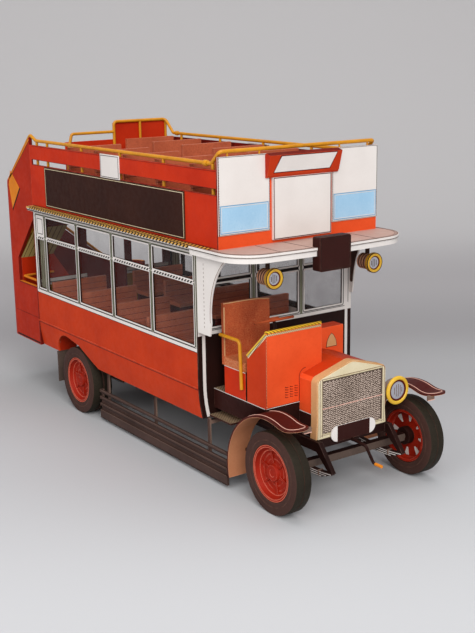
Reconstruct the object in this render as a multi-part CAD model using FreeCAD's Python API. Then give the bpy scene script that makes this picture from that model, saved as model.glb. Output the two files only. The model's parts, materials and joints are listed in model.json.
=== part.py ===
"""Open-top double decker bus, a printed card model to a scale of 7 mm to the foot.

Every length is in millimetres of the model. The front of the bus faces -Y, its offside
(the driver's side) is -X and +Z is up. Lengths along the bus are measured from the front
axle, and heights from the ground; every piece is moved at the end so that the origin lies
under the middle of the whole model.
"""
import FreeCAD, Part
import math
import os

V = FreeCAD.Vector

# --- thicknesses and gaps
CARD = 0.5              # wall of doubled card
THIN = 0.3              # single card, used for boards laid on a wall
FILM = 0.15             # clear film behind the window frames
WIRE = 0.5              # radius of the handrail wire
POST = 0.42             # radius of the handrail posts
GLUE_GAP = 0.1          # round parts pushed into one another
SKIN_GAP = 0.05         # curved skins that lie on one another
REACH = 40.0            # half-width of a cut that goes right across the bus
OVER_Z = 110.0          # a height above the whole model, where cuts end

# --- overall sizes
WHEELBASE = 97.2
WHEEL_RADIUS = 10.3
BODY_HALF = 25.3        # outer face of the saloon sides
DECK_Z = 61.8           # top of the upper deck's floor

# --- wheels and axles
FRONT_TYRE_WIDTH = 4.6
REAR_TYRE_WIDTH = 6.4
FRONT_FACE_X = BODY_HALF - 1.4      # outer face of the front tyres
REAR_FACE_X = BODY_HALF - 0.3       # outer face of the rear tyres
RIM_RADIUS = WHEEL_RADIUS - 3.3
RIM_WALL = 0.8
RIM_SET_BACK = 0.2      # from the tyre's faces to the rim's edges
WEB_THICK = 0.8
DISH_DEPTH = 1.7        # from the tyre's outer face to the web
HUB_RADIUS = 2.1
HUB_SET_BACK = 0.6      # from the tyre's outer face to the end of the hub
HUB_CAP = 0.6           # closed end of the hub
STUB_RADIUS = 0.8
RUNNING_GAP = 0.05      # radial, between stub axle and hub
END_GAP = 0.3           # along the axle, each side of the hub
AXLE_BEAM = 1.9         # square section of both axle beams

# --- across the bus
TUMBLE = 1.1            # how far the skirt turns in
UPPER_HALF = BODY_HALF - 0.15       # outer face of the upper deck's sides
CANOPY_HALF = BODY_HALF + 2.1
UPPER_INNER = UPPER_HALF - CARD
STAIR_WIDTH = 11.75
STAIR_X = UPPER_INNER - STAIR_WIDTH     # inner edge of the stairhead

# --- along the bus
BULKHEAD_Y = 27.9       # front face of the saloon
SALOON_END_Y = WHEELBASE + 25.3     # rear face of the saloon and of the upper deck
UPPER_FRONT_Y = BULKHEAD_Y - 9.85   # front face of the upper deck
CANOPY_FRONT_Y = BULKHEAD_Y - 22.5
CANOPY_CORNER = 9.2     # radius of the canopy's corners
CANOPY_BOW = 0.6        # how far the canopy's front edge bows out
PLATFORM_END_Y = SALOON_END_Y + 23.7    # rear face of the platform's back panel
PLATFORM_CORNER = 6.0   # radius of the platform's corners
FRONT_END_Y = -10.6     # tip of the front mudguards
ORIGIN_Y = (FRONT_END_Y + PLATFORM_END_Y) / 2.0

# --- heights of the lower deck, which follow the wheels
SKIRT_Z = WHEEL_RADIUS + 6.2
TUMBLE_Z = SKIRT_Z + 9.5            # where the skirt starts to turn in
FLOOR_Z = 2.0 * WHEEL_RADIUS + 3.0
BELT_Z = SKIRT_Z + 17.6
SILL_Z = BELT_Z + 1.8
FRONT_BELT_Z = BELT_Z + 4.3         # foot of the white frame across the front bulkhead
FRONT_SILL_Z = FRONT_BELT_Z + 1.9
PLATFORM_Z = SKIRT_Z + 1.0
DASH_TOP_Z = PLATFORM_Z + 17.9      # panel round the platform

# --- heights that hang from the upper deck or stand on it
LINTEL_Z = DECK_Z - 3.1
TRANSOM_Z = LINTEL_Z - 7.2
TRANSOM_DEPTH = 1.3
DECK_THICK = 0.6
SIDE_TOP_Z = DECK_Z + 13.05         # top of the upper deck's side panel
STRIP_Z = SIDE_TOP_Z + 1.6          # foot of the strip over the open slot
STRIP_TOP_Z = DECK_Z + 19.0
RAIL_Z = DECK_Z + 20.3
FRONT_TOP_Z = DECK_Z + 22.1
FRONT_RAIL_Z = FRONT_TOP_Z + 1.2
REAR_RAIL_Z = DECK_Z + 21.5
RAISED_TOP_Z = DECK_Z + 24.2        # raised panel behind the nearside rear seat

# --- window bays
BAY_COUNT = 4
PILLAR = 1.9
FIRST_PILLAR_Y = BULKHEAD_Y + 0.7   # middle of the pillar at the front corner
REAR_BAY = 8.2                      # from the last pillar's middle to the saloon's end
BAY_PITCH = (SALOON_END_Y - REAR_BAY - FIRST_PILLAR_Y) / BAY_COUNT
BULKHEAD_MULLION_X = 7.8
MULLION = 2.3
CORNER_POST = 3.3                   # white corner beside the front bulkhead's panes

# --- chassis
RAIL_X = 11.3           # middle of the frame rails
RAIL_WIDTH = 1.2
FRAME_TOP_Z = SKIRT_Z - 0.1
FRAME_DEPTH = 2.6

nodes = {}


def add(name, *shapes):
    """Put shapes into a named node."""
    nodes.setdefault(name, []).extend(shapes)


def box(x0, x1, y0, y1, z0, z1):
    return Part.makeBox(x1 - x0, y1 - y0, z1 - z0, V(x0, y0, z0))


def solid_from(edges, move):
    return Part.Face(Part.Wire(edges)).extrude(move)


def polygon(points):
    return [Part.LineSegment(a, b).toShape() for a, b in zip(points, points[1:] + points[:1])]


def plate_x(outline, x0, x1):
    """A plate across X with an outline of (y, z) points."""
    return solid_from(polygon([V(x0, y, z) for y, z in outline]), V(x1 - x0, 0, 0))


def plate_y(outline, y0, y1):
    """A plate across Y with an outline of (x, z) points."""
    return solid_from(polygon([V(x, y0, z) for x, z in outline]), V(0, y1 - y0, 0))


def plate_z(outline, z0, z1):
    """A plate across Z with an outline of (x, y) points."""
    return solid_from(polygon([V(x, y, z0) for x, y in outline]), V(0, 0, z1 - z0))


def rod_between(start, end, radius):
    return Part.makeCylinder(radius, (end - start).Length, start, end - start)


def mirrored(shape):
    """The same piece on the other side of the bus."""
    return shape.mirror(V(0, 0, 0), V(1, 0, 0))


def fused(shapes):
    whole = shapes[0]
    for shape in shapes[1:]:
        whole = whole.fuse(shape)
    return whole.removeSplitter()


def cut_all(shape, tools):
    for tool in tools:
        shape = shape.cut(tool)
    return shape


def bent_wire(points, radius, bend):
    """A round wire along straight runs joined by tangent arcs of one radius."""
    pieces = []
    start = points[0]
    for before, corner, after in zip(points, points[1:], points[2:]):
        into = (corner - before).normalize()
        out = (after - corner).normalize()
        turn = into.getAngle(out)
        reach = bend * math.tan(turn / 2.0)
        arc_start = corner - into * reach
        arc_end = corner + out * reach
        middle = corner + (out - into).normalize() * (bend / math.cos(turn / 2.0) - bend)
        pieces.append(Part.LineSegment(start, arc_start).toShape())
        pieces.append(Part.Arc(arc_start, middle, arc_end).toShape())
        start = arc_end
    pieces.append(Part.LineSegment(start, points[-1]).toShape())
    path = Part.Wire(pieces)
    profile = Part.Wire([Part.makeCircle(radius, points[0], points[1] - points[0])])
    return path.makePipeShell([profile], True, False)


def body_block(inset, y0, y1, z0, z1):
    """The saloon's cross-section between two heights, with its turned-in skirt."""
    half = BODY_HALF - inset
    drop = TUMBLE_Z - SKIRT_Z
    radius = (drop ** 2 + TUMBLE ** 2) / (2.0 * TUMBLE)

    def side(z):
        below = max(TUMBLE_Z - z, 0.0)
        return half - (radius - math.sqrt(radius ** 2 - below ** 2))

    low = side(z0)
    if z0 >= TUMBLE_Z:
        return box(-half, half, y0, y1, z0, z1)
    top_z = min(z1, TUMBLE_Z)
    top = side(top_z)
    middle_z = (z0 + top_z) / 2.0
    middle = side(middle_z)
    edges = [Part.LineSegment(V(-low, y0, z0), V(low, y0, z0)).toShape(),
             Part.Arc(V(low, y0, z0), V(middle, y0, middle_z), V(top, y0, top_z)).toShape()]
    if z1 > TUMBLE_Z:
        edges += [Part.LineSegment(V(half, y0, TUMBLE_Z), V(half, y0, z1)).toShape(),
                  Part.LineSegment(V(half, y0, z1), V(-half, y0, z1)).toShape(),
                  Part.LineSegment(V(-half, y0, z1), V(-half, y0, TUMBLE_Z)).toShape()]
    else:
        edges.append(Part.LineSegment(V(top, y0, top_z), V(-top, y0, top_z)).toShape())
    edges.append(Part.Arc(V(-top, y0, top_z), V(-middle, y0, middle_z), V(-low, y0, z0)).toShape())
    return solid_from(edges, V(0, y1 - y0, 0))


# ---------------------------------------------------------------- wheels
def ring_x(x0, x1, outer, inner, y, z):
    axis = V(1, 0, 0)
    ring = Part.makeCylinder(outer, x1 - x0, V(x0, y, z), axis)
    return ring.cut(Part.makeCylinder(inner, x1 - x0, V(x0, y, z), axis))


def make_wheel(name, face_x, width, axle_y):
    """A tyre and its dished wheel on the +X side, turning on a stub axle."""
    z = WHEEL_RADIUS
    inner_x = face_x - width
    tyre = ring_x(inner_x, face_x, WHEEL_RADIUS, RIM_RADIUS + GLUE_GAP, axle_y, z)
    web_x = face_x - DISH_DEPTH - WEB_THICK
    rim = ring_x(inner_x + RIM_SET_BACK, face_x - RIM_SET_BACK, RIM_RADIUS, RIM_RADIUS - RIM_WALL,
                 axle_y, z)
    axis = V(1, 0, 0)
    web = Part.makeCylinder(RIM_RADIUS - RIM_WALL / 2, WEB_THICK, V(web_x, axle_y, z), axis)
    hub_end = face_x - HUB_SET_BACK
    hub = Part.makeCylinder(HUB_RADIUS, hub_end - inner_x, V(inner_x, axle_y, z), axis)
    bore_end = hub_end - HUB_CAP
    bore = Part.makeCylinder(STUB_RADIUS + RUNNING_GAP, bore_end - inner_x,
                             V(inner_x, axle_y, z), axis)
    wheel = fused([rim, web, hub]).cut(bore)
    add("tyre_" + name + "_nearside", tyre)
    add("tyre_" + name + "_offside", mirrored(tyre))
    add("wheel_" + name + "_nearside", wheel)
    add("wheel_" + name + "_offside", mirrored(wheel))
    return inner_x, bore_end


def make_axle(name, axle_y, inner_x, bore_end):
    """A square beam that carries the two stub axles."""
    half = AXLE_BEAM / 2.0
    z = WHEEL_RADIUS
    beam_end = inner_x - END_GAP
    beam = box(-beam_end, beam_end, axle_y - half, axle_y + half, z - half, z + half)
    stub = Part.makeCylinder(STUB_RADIUS, bore_end - END_GAP - beam_end + half,
                             V(beam_end - half, axle_y, z), V(1, 0, 0))
    add(name, fused([beam, stub, mirrored(stub)]))


front_inner, front_bore = make_wheel("front", FRONT_FACE_X, FRONT_TYRE_WIDTH, 0.0)
rear_inner, rear_bore = make_wheel("rear", REAR_FACE_X, REAR_TYRE_WIDTH, WHEELBASE)
make_axle("front_axle", 0.0, front_inner, front_bore)
make_axle("rear_axle", WHEELBASE, rear_inner, rear_bore)

# ---------------------------------------------------------------- chassis
FRAME_FOOT_Z = FRAME_TOP_Z - FRAME_DEPTH
FRAME_FRONT_Y = -2.6
FRAME_REAR_Y = PLATFORM_END_Y - 5.2
MEMBER_STATIONS = (FRAME_FRONT_Y + 0.4, BULKHEAD_Y + 1.1, BULKHEAD_Y + 27.1, WHEELBASE - 15.2,
                   WHEELBASE + 14.8, FRAME_REAR_Y - 2.0)
MEMBER_WIDTH = 1.2
MEMBER_FOOT_Z = FRAME_FOOT_Z + 0.3
BEARER_REACH = 16.0     # half-length of the bearers under the saloon floor
SPRING_HALF_LENGTH = 8.2
SPRING_TIP_Z = WHEEL_RADIUS - 1.0
SPRING_TIP = 0.6        # thickness of a spring's tips
SPRING_DEPTH = 1.5      # thickness of a spring's middle
HANGER_LENGTH = 1.0
IRON_LENGTH = 5.6       # how far the dumb irons run ahead of the frame
IRON_KNEE = 1.0


def make_chassis():
    x0 = RAIL_X - RAIL_WIDTH / 2
    x1 = RAIL_X + RAIL_WIDTH / 2
    tip_y = FRAME_FRONT_Y - IRON_LENGTH
    tip_z = SPRING_TIP_Z + SPRING_TIP
    rail = box(x0, x1, FRAME_FRONT_Y, FRAME_REAR_Y, FRAME_FOOT_Z, FRAME_TOP_Z)
    iron = plate_x([(FRAME_FRONT_Y, FRAME_FOOT_Z), (FRAME_FRONT_Y, FRAME_TOP_Z),
                    (FRAME_FRONT_Y - IRON_KNEE, FRAME_TOP_Z), (tip_y - SPRING_TIP, tip_z),
                    (tip_y + IRON_KNEE, tip_z)], x0, x1)
    members = [box(-x0, x0, y, y + MEMBER_WIDTH, MEMBER_FOOT_Z, FRAME_TOP_Z)
               for y in MEMBER_STATIONS]
    add("chassis_frame", fused([rail, iron, mirrored(rail), mirrored(iron)] + members))


def make_springs(axle_y, hanger_stations):
    """A leaf spring below the axle beam, bowed down in the middle, with its packing block."""
    x0 = RAIL_X - RAIL_WIDTH / 2
    x1 = RAIL_X + RAIL_WIDTH / 2
    middle_z = WHEEL_RADIUS - AXLE_BEAM / 2 - SPRING_DEPTH
    reach = SPRING_HALF_LENGTH

    def arc(ends, middle):
        return Part.Arc(V(x0, axle_y - reach, ends), V(x0, axle_y, middle),
                        V(x0, axle_y + reach, ends)).toShape()

    leaf = [arc(SPRING_TIP_Z, middle_z),
            Part.LineSegment(V(x0, axle_y + reach, SPRING_TIP_Z),
                             V(x0, axle_y + reach, SPRING_TIP_Z + SPRING_TIP)).toShape(),
            arc(SPRING_TIP_Z + SPRING_TIP, middle_z + SPRING_DEPTH),
            Part.LineSegment(V(x0, axle_y - reach, SPRING_TIP_Z + SPRING_TIP),
                             V(x0, axle_y - reach, SPRING_TIP_Z)).toShape()]
    spring = solid_from(leaf, V(x1 - x0, 0, 0))
    hangers = []
    for y in hanger_stations:
        y0 = y - HANGER_LENGTH / 2
        hangers.append(box(x0, x1, y0, y0 + HANGER_LENGTH, SPRING_TIP_Z + SPRING_TIP / 3, FRAME_FOOT_Z))
    whole = fused([spring] + hangers)
    beam_half = AXLE_BEAM / 2 + SKIN_GAP
    whole = whole.cut(box(-REACH, REACH, axle_y - beam_half, axle_y + beam_half,
                          WHEEL_RADIUS - beam_half, WHEEL_RADIUS + beam_half))
    add("leaf_springs", whole, mirrored(whole))


make_chassis()
HANGER_REACH = SPRING_HALF_LENGTH - HANGER_LENGTH / 2
make_springs(0.0, [HANGER_REACH])
make_springs(WHEELBASE, [WHEELBASE - HANGER_REACH, WHEELBASE + HANGER_REACH])

# ---------------------------------------------------------------- saloon
SIDE_Y0 = BULKHEAD_Y + CARD
SIDE_Y1 = SALOON_END_Y - CARD
DECK_UNDER_Z = DECK_Z - DECK_THICK
FLOOR_UNDER_Z = FLOOR_Z - CARD
PILLARS = [FIRST_PILLAR_Y + BAY_PITCH * bay for bay in range(BAY_COUNT + 1)]
DOORWAY_HALF = 7.0
ARCH_REAR = WHEEL_RADIUS + 3.5      # from the rear axle back to the end of the wheel arch
ARCH_FRONT = WHEEL_RADIUS + 2.1     # from the rear axle forward to the foot of the slope
ARCH_TOP_Z = 2.0 * WHEEL_RADIUS + 2.3
FILM_TOP_Z = LINTEL_Z + 1.0
REAR_PANE_X = (9.6, BODY_HALF - 3.5)
REAR_PANE_Z = (SILL_Z + 2.0, TRANSOM_Z + 3.0)
FRONT_TRANSOM_DROP = 0.4    # the front panes end this much lower than the side ones


def make_floor():
    floor = body_block(CARD + SKIN_GAP, SIDE_Y0, SIDE_Y1, FLOOR_UNDER_Z, FLOOR_Z)
    bearers = [box(-BEARER_REACH, BEARER_REACH, y, y + MEMBER_WIDTH, FRAME_TOP_Z, FLOOR_UNDER_Z)
               for y in MEMBER_STATIONS if SIDE_Y0 < y < SIDE_Y1]
    add("saloon_floor", fused([floor] + bearers))


def wheel_arch():
    """The opening in the skirt above the rear wheels, steep behind and sloping in front."""
    rear = WHEELBASE + ARCH_REAR
    front = WHEELBASE - ARCH_FRONT
    low = SKIRT_Z - 1.0
    a = V(-REACH, rear, low)
    b = V(-REACH, rear - 0.7, SKIRT_Z + 2.5)
    c = V(-REACH, rear - 3.6, ARCH_TOP_Z - 0.8)
    d = V(-REACH, rear - 8.3, ARCH_TOP_Z)
    e = V(-REACH, WHEELBASE - 2.2, ARCH_TOP_Z - 1.3)
    f = V(-REACH, front, SKIRT_Z)
    g = V(-REACH, front, low)
    edges = [Part.LineSegment(a, b).toShape(), Part.Arc(b, c, d).toShape()]
    for start, end in ((d, e), (e, f), (f, g), (g, a)):
        edges.append(Part.LineSegment(start, end).toShape())
    return solid_from(edges, V(2 * REACH, 0, 0))


def side_windows(x0, x1):
    """Openings of the side bays: a ventilator over a tall pane, and one narrow rear pane."""
    holes = []
    for front, rear in zip(PILLARS, PILLARS[1:]):
        y0, y1 = front + PILLAR / 2, rear - PILLAR / 2
        holes.append(box(x0, x1, y0, y1, SILL_Z, TRANSOM_Z))
        holes.append(box(x0, x1, y0, y1, TRANSOM_Z + TRANSOM_DEPTH, LINTEL_Z))
    y0 = PILLARS[-1] + PILLAR / 2
    y1 = SALOON_END_Y - PILLAR - CARD
    holes.append(box(x0, x1, y0, y1, SILL_Z, TRANSOM_Z))
    return holes


def make_sides():
    skirt = body_block(0.0, SIDE_Y0, SIDE_Y1, SKIRT_Z, BELT_Z)
    skirt = skirt.cut(body_block(CARD, SIDE_Y0, SIDE_Y1, SKIRT_Z, BELT_Z)).cut(wheel_arch())
    add("side_panels", skirt)
    inner = BODY_HALF - CARD
    frame = box(inner, BODY_HALF, SIDE_Y0, SIDE_Y1, BELT_Z, DECK_UNDER_Z)
    frame = cut_all(frame, side_windows(inner, BODY_HALF))
    film = box(inner - FILM, inner, SIDE_Y0 + FILM, SIDE_Y1 - FILM, BELT_Z, FILM_TOP_Z)
    add("window_frames", frame, mirrored(frame))
    add("window_film", film, mirrored(film))


def make_front_bulkhead():
    y0, y1 = BULKHEAD_Y, BULKHEAD_Y + CARD
    add("bulkhead_panel", body_block(0.0, y0, y1, SKIRT_Z, FRONT_BELT_Z))
    frame = box(-BODY_HALF, BODY_HALF, y0, y1, FRONT_BELT_Z, DECK_UNDER_Z)
    outer_x = BODY_HALF - CORNER_POST
    edges = (-outer_x, -BULKHEAD_MULLION_X, BULKHEAD_MULLION_X, outer_x)
    for left, right in zip(edges, edges[1:]):
        x0 = left + (MULLION / 2 if left > -outer_x else 0.0)
        x1 = right - (MULLION / 2 if right < outer_x else 0.0)
        frame = frame.cut(box(x0, x1, y0, y1, FRONT_SILL_Z,
                              TRANSOM_Z - FRONT_TRANSOM_DROP))
        frame = frame.cut(box(x0, x1, y0, y1, TRANSOM_Z + TRANSOM_DEPTH, LINTEL_Z))
    add("bulkhead_frame", frame)
    film_x = BODY_HALF - CARD - FILM
    add("window_film", box(-film_x, film_x, y1, y1 + FILM, FRONT_BELT_Z,
                           FILM_TOP_Z))


def make_rear_bulkhead():
    y0, y1 = SALOON_END_Y - CARD, SALOON_END_Y
    wall = body_block(0.0, y0, y1, SKIRT_Z, DECK_UNDER_Z)
    wall = wall.cut(box(-DOORWAY_HALF, DOORWAY_HALF, y0, y1, FLOOR_Z, LINTEL_Z))
    pane = box(*REAR_PANE_X, y0, y1, *REAR_PANE_Z)
    wall = wall.cut(pane).cut(mirrored(pane))
    add("rear_bulkhead", wall)


make_floor()
make_sides()
make_front_bulkhead()
make_rear_bulkhead()

# ---------------------------------------------------------------- canopy and upper deck floor
ROUTE_BOX_HALF = 4.9
ROUTE_BOX_Y0 = CANOPY_FRONT_Y - 0.8
ROUTE_BOX_DEPTH = 2.8
ROUTE_BOX_Z0 = DECK_Z - 5.9
ROUTE_BOX_Z1 = DECK_Z + 2.5
FASCIA_FOOT_Z = DECK_Z - 2.1
FASCIA_INSET = 0.3
CORNICE_DEPTH = 0.7


def canopy_block(inset, z0, z1, y_end):
    """The canopy's plan: bowed front, round corners and straight sides."""
    half = CANOPY_HALF - inset
    r = CANOPY_CORNER - inset
    side_y = CANOPY_FRONT_Y + CANOPY_BOW + CANOPY_CORNER
    corner_y = side_y - r
    diagonal = r * math.sqrt(0.5)
    left = V(-(half - r), corner_y, z0)
    right = V(half - r, corner_y, z0)
    arc_in = V(half - r + diagonal, side_y - diagonal, z0)
    edges = [Part.Arc(left, V(0, CANOPY_FRONT_Y + inset, z0), right).toShape(),
             Part.Arc(right, arc_in, V(half, side_y, z0)).toShape(),
             Part.LineSegment(V(half, side_y, z0), V(half, y_end, z0)).toShape(),
             Part.LineSegment(V(half, y_end, z0), V(-half, y_end, z0)).toShape(),
             Part.LineSegment(V(-half, y_end, z0), V(-half, side_y, z0)).toShape(),
             Part.Arc(V(-half, side_y, z0), V(-arc_in.x, arc_in.y, z0), left).toShape()]
    return solid_from(edges, V(0, 0, z1 - z0))


def route_box():
    return box(-ROUTE_BOX_HALF, ROUTE_BOX_HALF, ROUTE_BOX_Y0, ROUTE_BOX_Y0 + ROUTE_BOX_DEPTH,
               ROUTE_BOX_Z0, ROUTE_BOX_Z1)


def make_canopy():
    notch = route_box()
    deck = canopy_block(0.0, DECK_UNDER_Z, DECK_Z, SALOON_END_Y).cut(notch)
    add("upper_deck_floor", deck)
    band = canopy_block(FASCIA_INSET, FASCIA_FOOT_Z, DECK_UNDER_Z, BULKHEAD_Y)
    band = band.cut(canopy_block(FASCIA_INSET + THIN, FASCIA_FOOT_Z, DECK_UNDER_Z, BULKHEAD_Y + 1))
    cornice = box(BODY_HALF, CANOPY_HALF - FASCIA_INSET, BULKHEAD_Y, SALOON_END_Y,
                  DECK_UNDER_Z - CORNICE_DEPTH, DECK_UNDER_Z)
    add("canopy_edging", fused([band.cut(notch), cornice, mirrored(cornice)]))
    add("route_box", notch)


# the canopy's brackets: height of the foot, and how far forward the foot and the tip reach
OFFSIDE_BRACKET = (FRONT_BELT_Z + 1.2, 6.1, 12.5)
NEARSIDE_BRACKET = (FRONT_BELT_Z + 4.6, 1.5, 6.3)
BRACKET_TIP_DROP = 2.0
BRACKET_FOOT_RISE = 3.4


def canopy_bracket(foot_z, foot_reach, tip_reach):
    """A quarter bracket in the plane of the nearside, hollow along its front edge."""
    x0, x1 = BODY_HALF - CARD, BODY_HALF
    hollow = tip_reach / OFFSIDE_BRACKET[2]
    a = V(x0, BULKHEAD_Y, foot_z)
    b = V(x0, BULKHEAD_Y - foot_reach + 0.6, foot_z)
    c = V(x0, BULKHEAD_Y - foot_reach, foot_z + BRACKET_FOOT_RISE)
    e = V(x0, BULKHEAD_Y - tip_reach, DECK_UNDER_Z - BRACKET_TIP_DROP)
    d = (c + e) / 2.0 + V(0, 1.85, 1.2) * hollow
    f = V(x0, BULKHEAD_Y - tip_reach - 0.4, DECK_UNDER_Z)
    g = V(x0, BULKHEAD_Y, DECK_UNDER_Z)
    edges = [Part.LineSegment(a, b).toShape(), Part.LineSegment(b, c).toShape(),
             Part.Arc(c, d, e).toShape(), Part.LineSegment(e, f).toShape(),
             Part.LineSegment(f, g).toShape(), Part.LineSegment(g, a).toShape()]
    return solid_from(edges, V(x1 - x0, 0, 0))


def make_brackets():
    """The brackets that carry the canopy from the saloon's front corners; the nearside's is small."""
    nearside = canopy_bracket(*NEARSIDE_BRACKET)
    offside = mirrored(canopy_bracket(*OFFSIDE_BRACKET))
    add("canopy_brackets", nearside, offside)


LAMP_X = 15.9
LAMP_FRONT_Y = CANOPY_FRONT_Y + 2.6
LAMP_Z = DECK_Z - 6.6
LAMP_RADIUS = 2.0
LAMP_LENGTH = 3.8
LAMP_RIM_RADIUS = 2.6
LAMP_RIM_DEPTH = 1.0
LAMP_HANGER = 0.8


def make_canopy_lamps():
    back = V(0, 1, 0)
    rim = Part.makeCylinder(LAMP_RIM_RADIUS, LAMP_RIM_DEPTH, V(LAMP_X, LAMP_FRONT_Y, LAMP_Z), back)
    drum_y = LAMP_FRONT_Y + LAMP_RIM_DEPTH
    drum = Part.makeCylinder(LAMP_RADIUS, LAMP_LENGTH, V(LAMP_X, drum_y, LAMP_Z), back)
    hanger_x = LAMP_X - LAMP_HANGER / 2
    hanger_y = drum_y + LAMP_LENGTH / 2 - LAMP_HANGER / 2
    hanger = box(hanger_x, hanger_x + LAMP_HANGER, hanger_y, hanger_y + LAMP_HANGER, LAMP_Z,
                 DECK_UNDER_Z)
    lamp = fused([drum, rim, hanger])
    add("canopy_lamps", lamp, mirrored(lamp))


make_canopy()
make_brackets()
make_canopy_lamps()

# ---------------------------------------------------------------- upper deck sides and boards
FRONT_WALL_Y = UPPER_FRONT_Y + CARD
REAR_WALL_Y = SALOON_END_Y - CARD
SLOT_END = 1.3
RAISED_X = 4.5                              # where the raised rear panel starts
BOARD_EDGE_X = 9.9
FRONT_BOARD_FOOT_Z = DECK_Z + 3.3
SIDE_BOARD_Y = (UPPER_FRONT_Y + 14.45, SALOON_END_Y - 10.5)
SIDE_BOARD_Z = (DECK_Z + 0.7, SIDE_TOP_Z - 0.25)
NUMBER_BOARD_HALF = 5.3
DESTINATION_HALF = BOARD_EDGE_X - 0.7
DESTINATION_Z = (DECK_Z + 0.8, DECK_Z + 16.2)
DESTINATION_THICK = 0.8
HOOD_HALF = 11.3
HOOD_HEIGHT = 6.0
HOOD_REACH = 2.6


def make_upper_deck():
    side = box(UPPER_INNER, UPPER_HALF, FRONT_WALL_Y, SALOON_END_Y, DECK_Z, STRIP_TOP_Z)
    side = side.cut(box(UPPER_INNER, UPPER_HALF, FRONT_WALL_Y, SALOON_END_Y - SLOT_END,
                        SIDE_TOP_Z, STRIP_Z))
    add("upper_side_panels", side, mirrored(side))
    add("upper_front_panel", box(-UPPER_HALF, UPPER_HALF, UPPER_FRONT_Y, FRONT_WALL_Y,
                                 DECK_Z, FRONT_TOP_Z))
    rear = plate_y([(-STAIR_X, DECK_Z), (UPPER_INNER, DECK_Z), (UPPER_INNER, RAISED_TOP_Z),
                    (RAISED_X, RAISED_TOP_Z), (RAISED_X, STRIP_TOP_Z), (-STAIR_X, STRIP_TOP_Z)],
                   REAR_WALL_Y, SALOON_END_Y)
    add("upper_rear_panel", rear)


def make_boards():
    board = box(UPPER_HALF, UPPER_HALF + THIN, *SIDE_BOARD_Y, *SIDE_BOARD_Z)
    add("side_boards", board, mirrored(board))
    y0, y1 = UPPER_FRONT_Y - THIN, UPPER_FRONT_Y
    front = box(BOARD_EDGE_X, UPPER_HALF, y0, y1, FRONT_BOARD_FOOT_Z, FRONT_TOP_Z)
    add("front_boards", front, mirrored(front))
    add("destination_board", box(-DESTINATION_HALF, DESTINATION_HALF, y1 - DESTINATION_THICK, y1,
                                 *DESTINATION_Z))
    foot_z = DESTINATION_Z[1]
    face_y = y1 - HOOD_REACH
    top_z = foot_z + HOOD_HEIGHT
    hood = plate_x([(y1, foot_z), (y1 - DESTINATION_THICK, foot_z), (y1 - 1.2, foot_z + 0.6),
                    (face_y, top_z - 0.5), (y1 - 0.9, top_z), (y1, top_z - 0.6)],
                   -HOOD_HALF, HOOD_HALF)
    add("destination_box", hood.cut(front).cut(mirrored(front)))
    middle = (UPPER_FRONT_Y + SALOON_END_Y) / 2
    number = box(UPPER_HALF, UPPER_HALF + THIN, middle - NUMBER_BOARD_HALF,
                 middle + NUMBER_BOARD_HALF, SIDE_BOARD_Z[1], STRIP_TOP_Z + THIN)
    add("side_number_boards", number, mirrored(number))


make_upper_deck()
make_boards()

# ---------------------------------------------------------------- sizes of platform and stairs
STRAIGHT_STEPS = 3
WINDERS = 3
LOWER_STEPS = 3
STEP_RISE = (DECK_Z - PLATFORM_Z) / (STRAIGHT_STEPS + WINDERS + LOWER_STEPS + 1)
LOWER_GOING = 4.6
STRINGER_ABOVE = 1.0    # stringer's edge above the nosings
CASING_Y = PLATFORM_END_Y - 10.0    # front face of the casing round the lower steps
SOFFIT_TOP_Z = DECK_Z - STEP_RISE - CARD - 0.87
SOFFIT_FOOT_Z = DECK_Z - (STRAIGHT_STEPS + 1) * STEP_RISE - CARD - 0.38
SHELL_WALL = 1.1
GAP_TOP_Z = SOFFIT_TOP_Z + 1.9      # the stair panel's opening, where it meets the saloon
GAP_CORNER_Z = SOFFIT_FOOT_Z + 0.1
SHELL_TOP_Z = DECK_Z + 21.2         # top of the stair panel at the saloon's end
DASH_X = 14.0                       # where the stair panel's edge meets the dash, at the back
PLATFORM_SKIRT_Z = SKIRT_Z - 0.3
PLATFORM_RAIL_Z = DASH_TOP_Z + 1.5
PLATFORM_RAIL_RADIUS = 0.4
CORNER_Y = PLATFORM_END_Y - PLATFORM_CORNER
CORNER_X = -UPPER_HALF + PLATFORM_CORNER
CORNER_RUN = PLATFORM_CORNER * math.pi / 2
EDGE_RUN = CORNER_Y - SALOON_END_Y + CORNER_RUN + DASH_X - CORNER_X
SHELL_SLOPE = (SHELL_TOP_Z - DASH_TOP_Z) / EDGE_RUN
CORNER_Z = SHELL_TOP_Z - SHELL_SLOPE * (CORNER_Y - SALOON_END_Y)
REAR_EDGE_Z = CORNER_Z - SHELL_SLOPE * CORNER_RUN   # the edge at the start of the rear face

# ---------------------------------------------------------------- handrails
RAIL_X_SIDE = UPPER_INNER - WIRE            # middle of the side rails
POST_COUNT = 5
FIRST_POST_Y = UPPER_FRONT_Y + 3.15
LAST_POST_Y = SALOON_END_Y - 10.9
POST_PITCH = (LAST_POST_Y - FIRST_POST_Y) / (POST_COUNT - 1)
SIDE_POSTS = [FIRST_POST_Y + POST_PITCH * post for post in range(1, POST_COUNT)]
STAIR_POST_Y = SALOON_END_Y - 3.6           # one more post on the offside, by the stairhead
SLEEVE_Y = UPPER_FRONT_Y + 6.95
SLEEVE_RADIUS = 0.75
SLEEVE_LENGTH = 1.6
FRONT_BEND = 0.9
FRONT_POSTS = (12.6, 22.0)                  # X of the short posts on the front panel
FRONT_POST_RADIUS = CARD / 2 - 0.01
OFFSIDE_RISE_Y = SALOON_END_Y - 3.0         # where the offside rail starts to rise
OFFSIDE_APEX = 0.9                          # how far its top stands over the stair panel
EDGE_SEAT = 0.7                             # the rail's lift over the stair panel's round corner
NEARSIDE_END_Y = SALOON_END_Y - 9.0         # sleeve that joins the nearside rail to the rear one
NEARSIDE_RISE_Y = SALOON_END_Y - 5.9
MIDDLE_POST_X = 14.3
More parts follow.
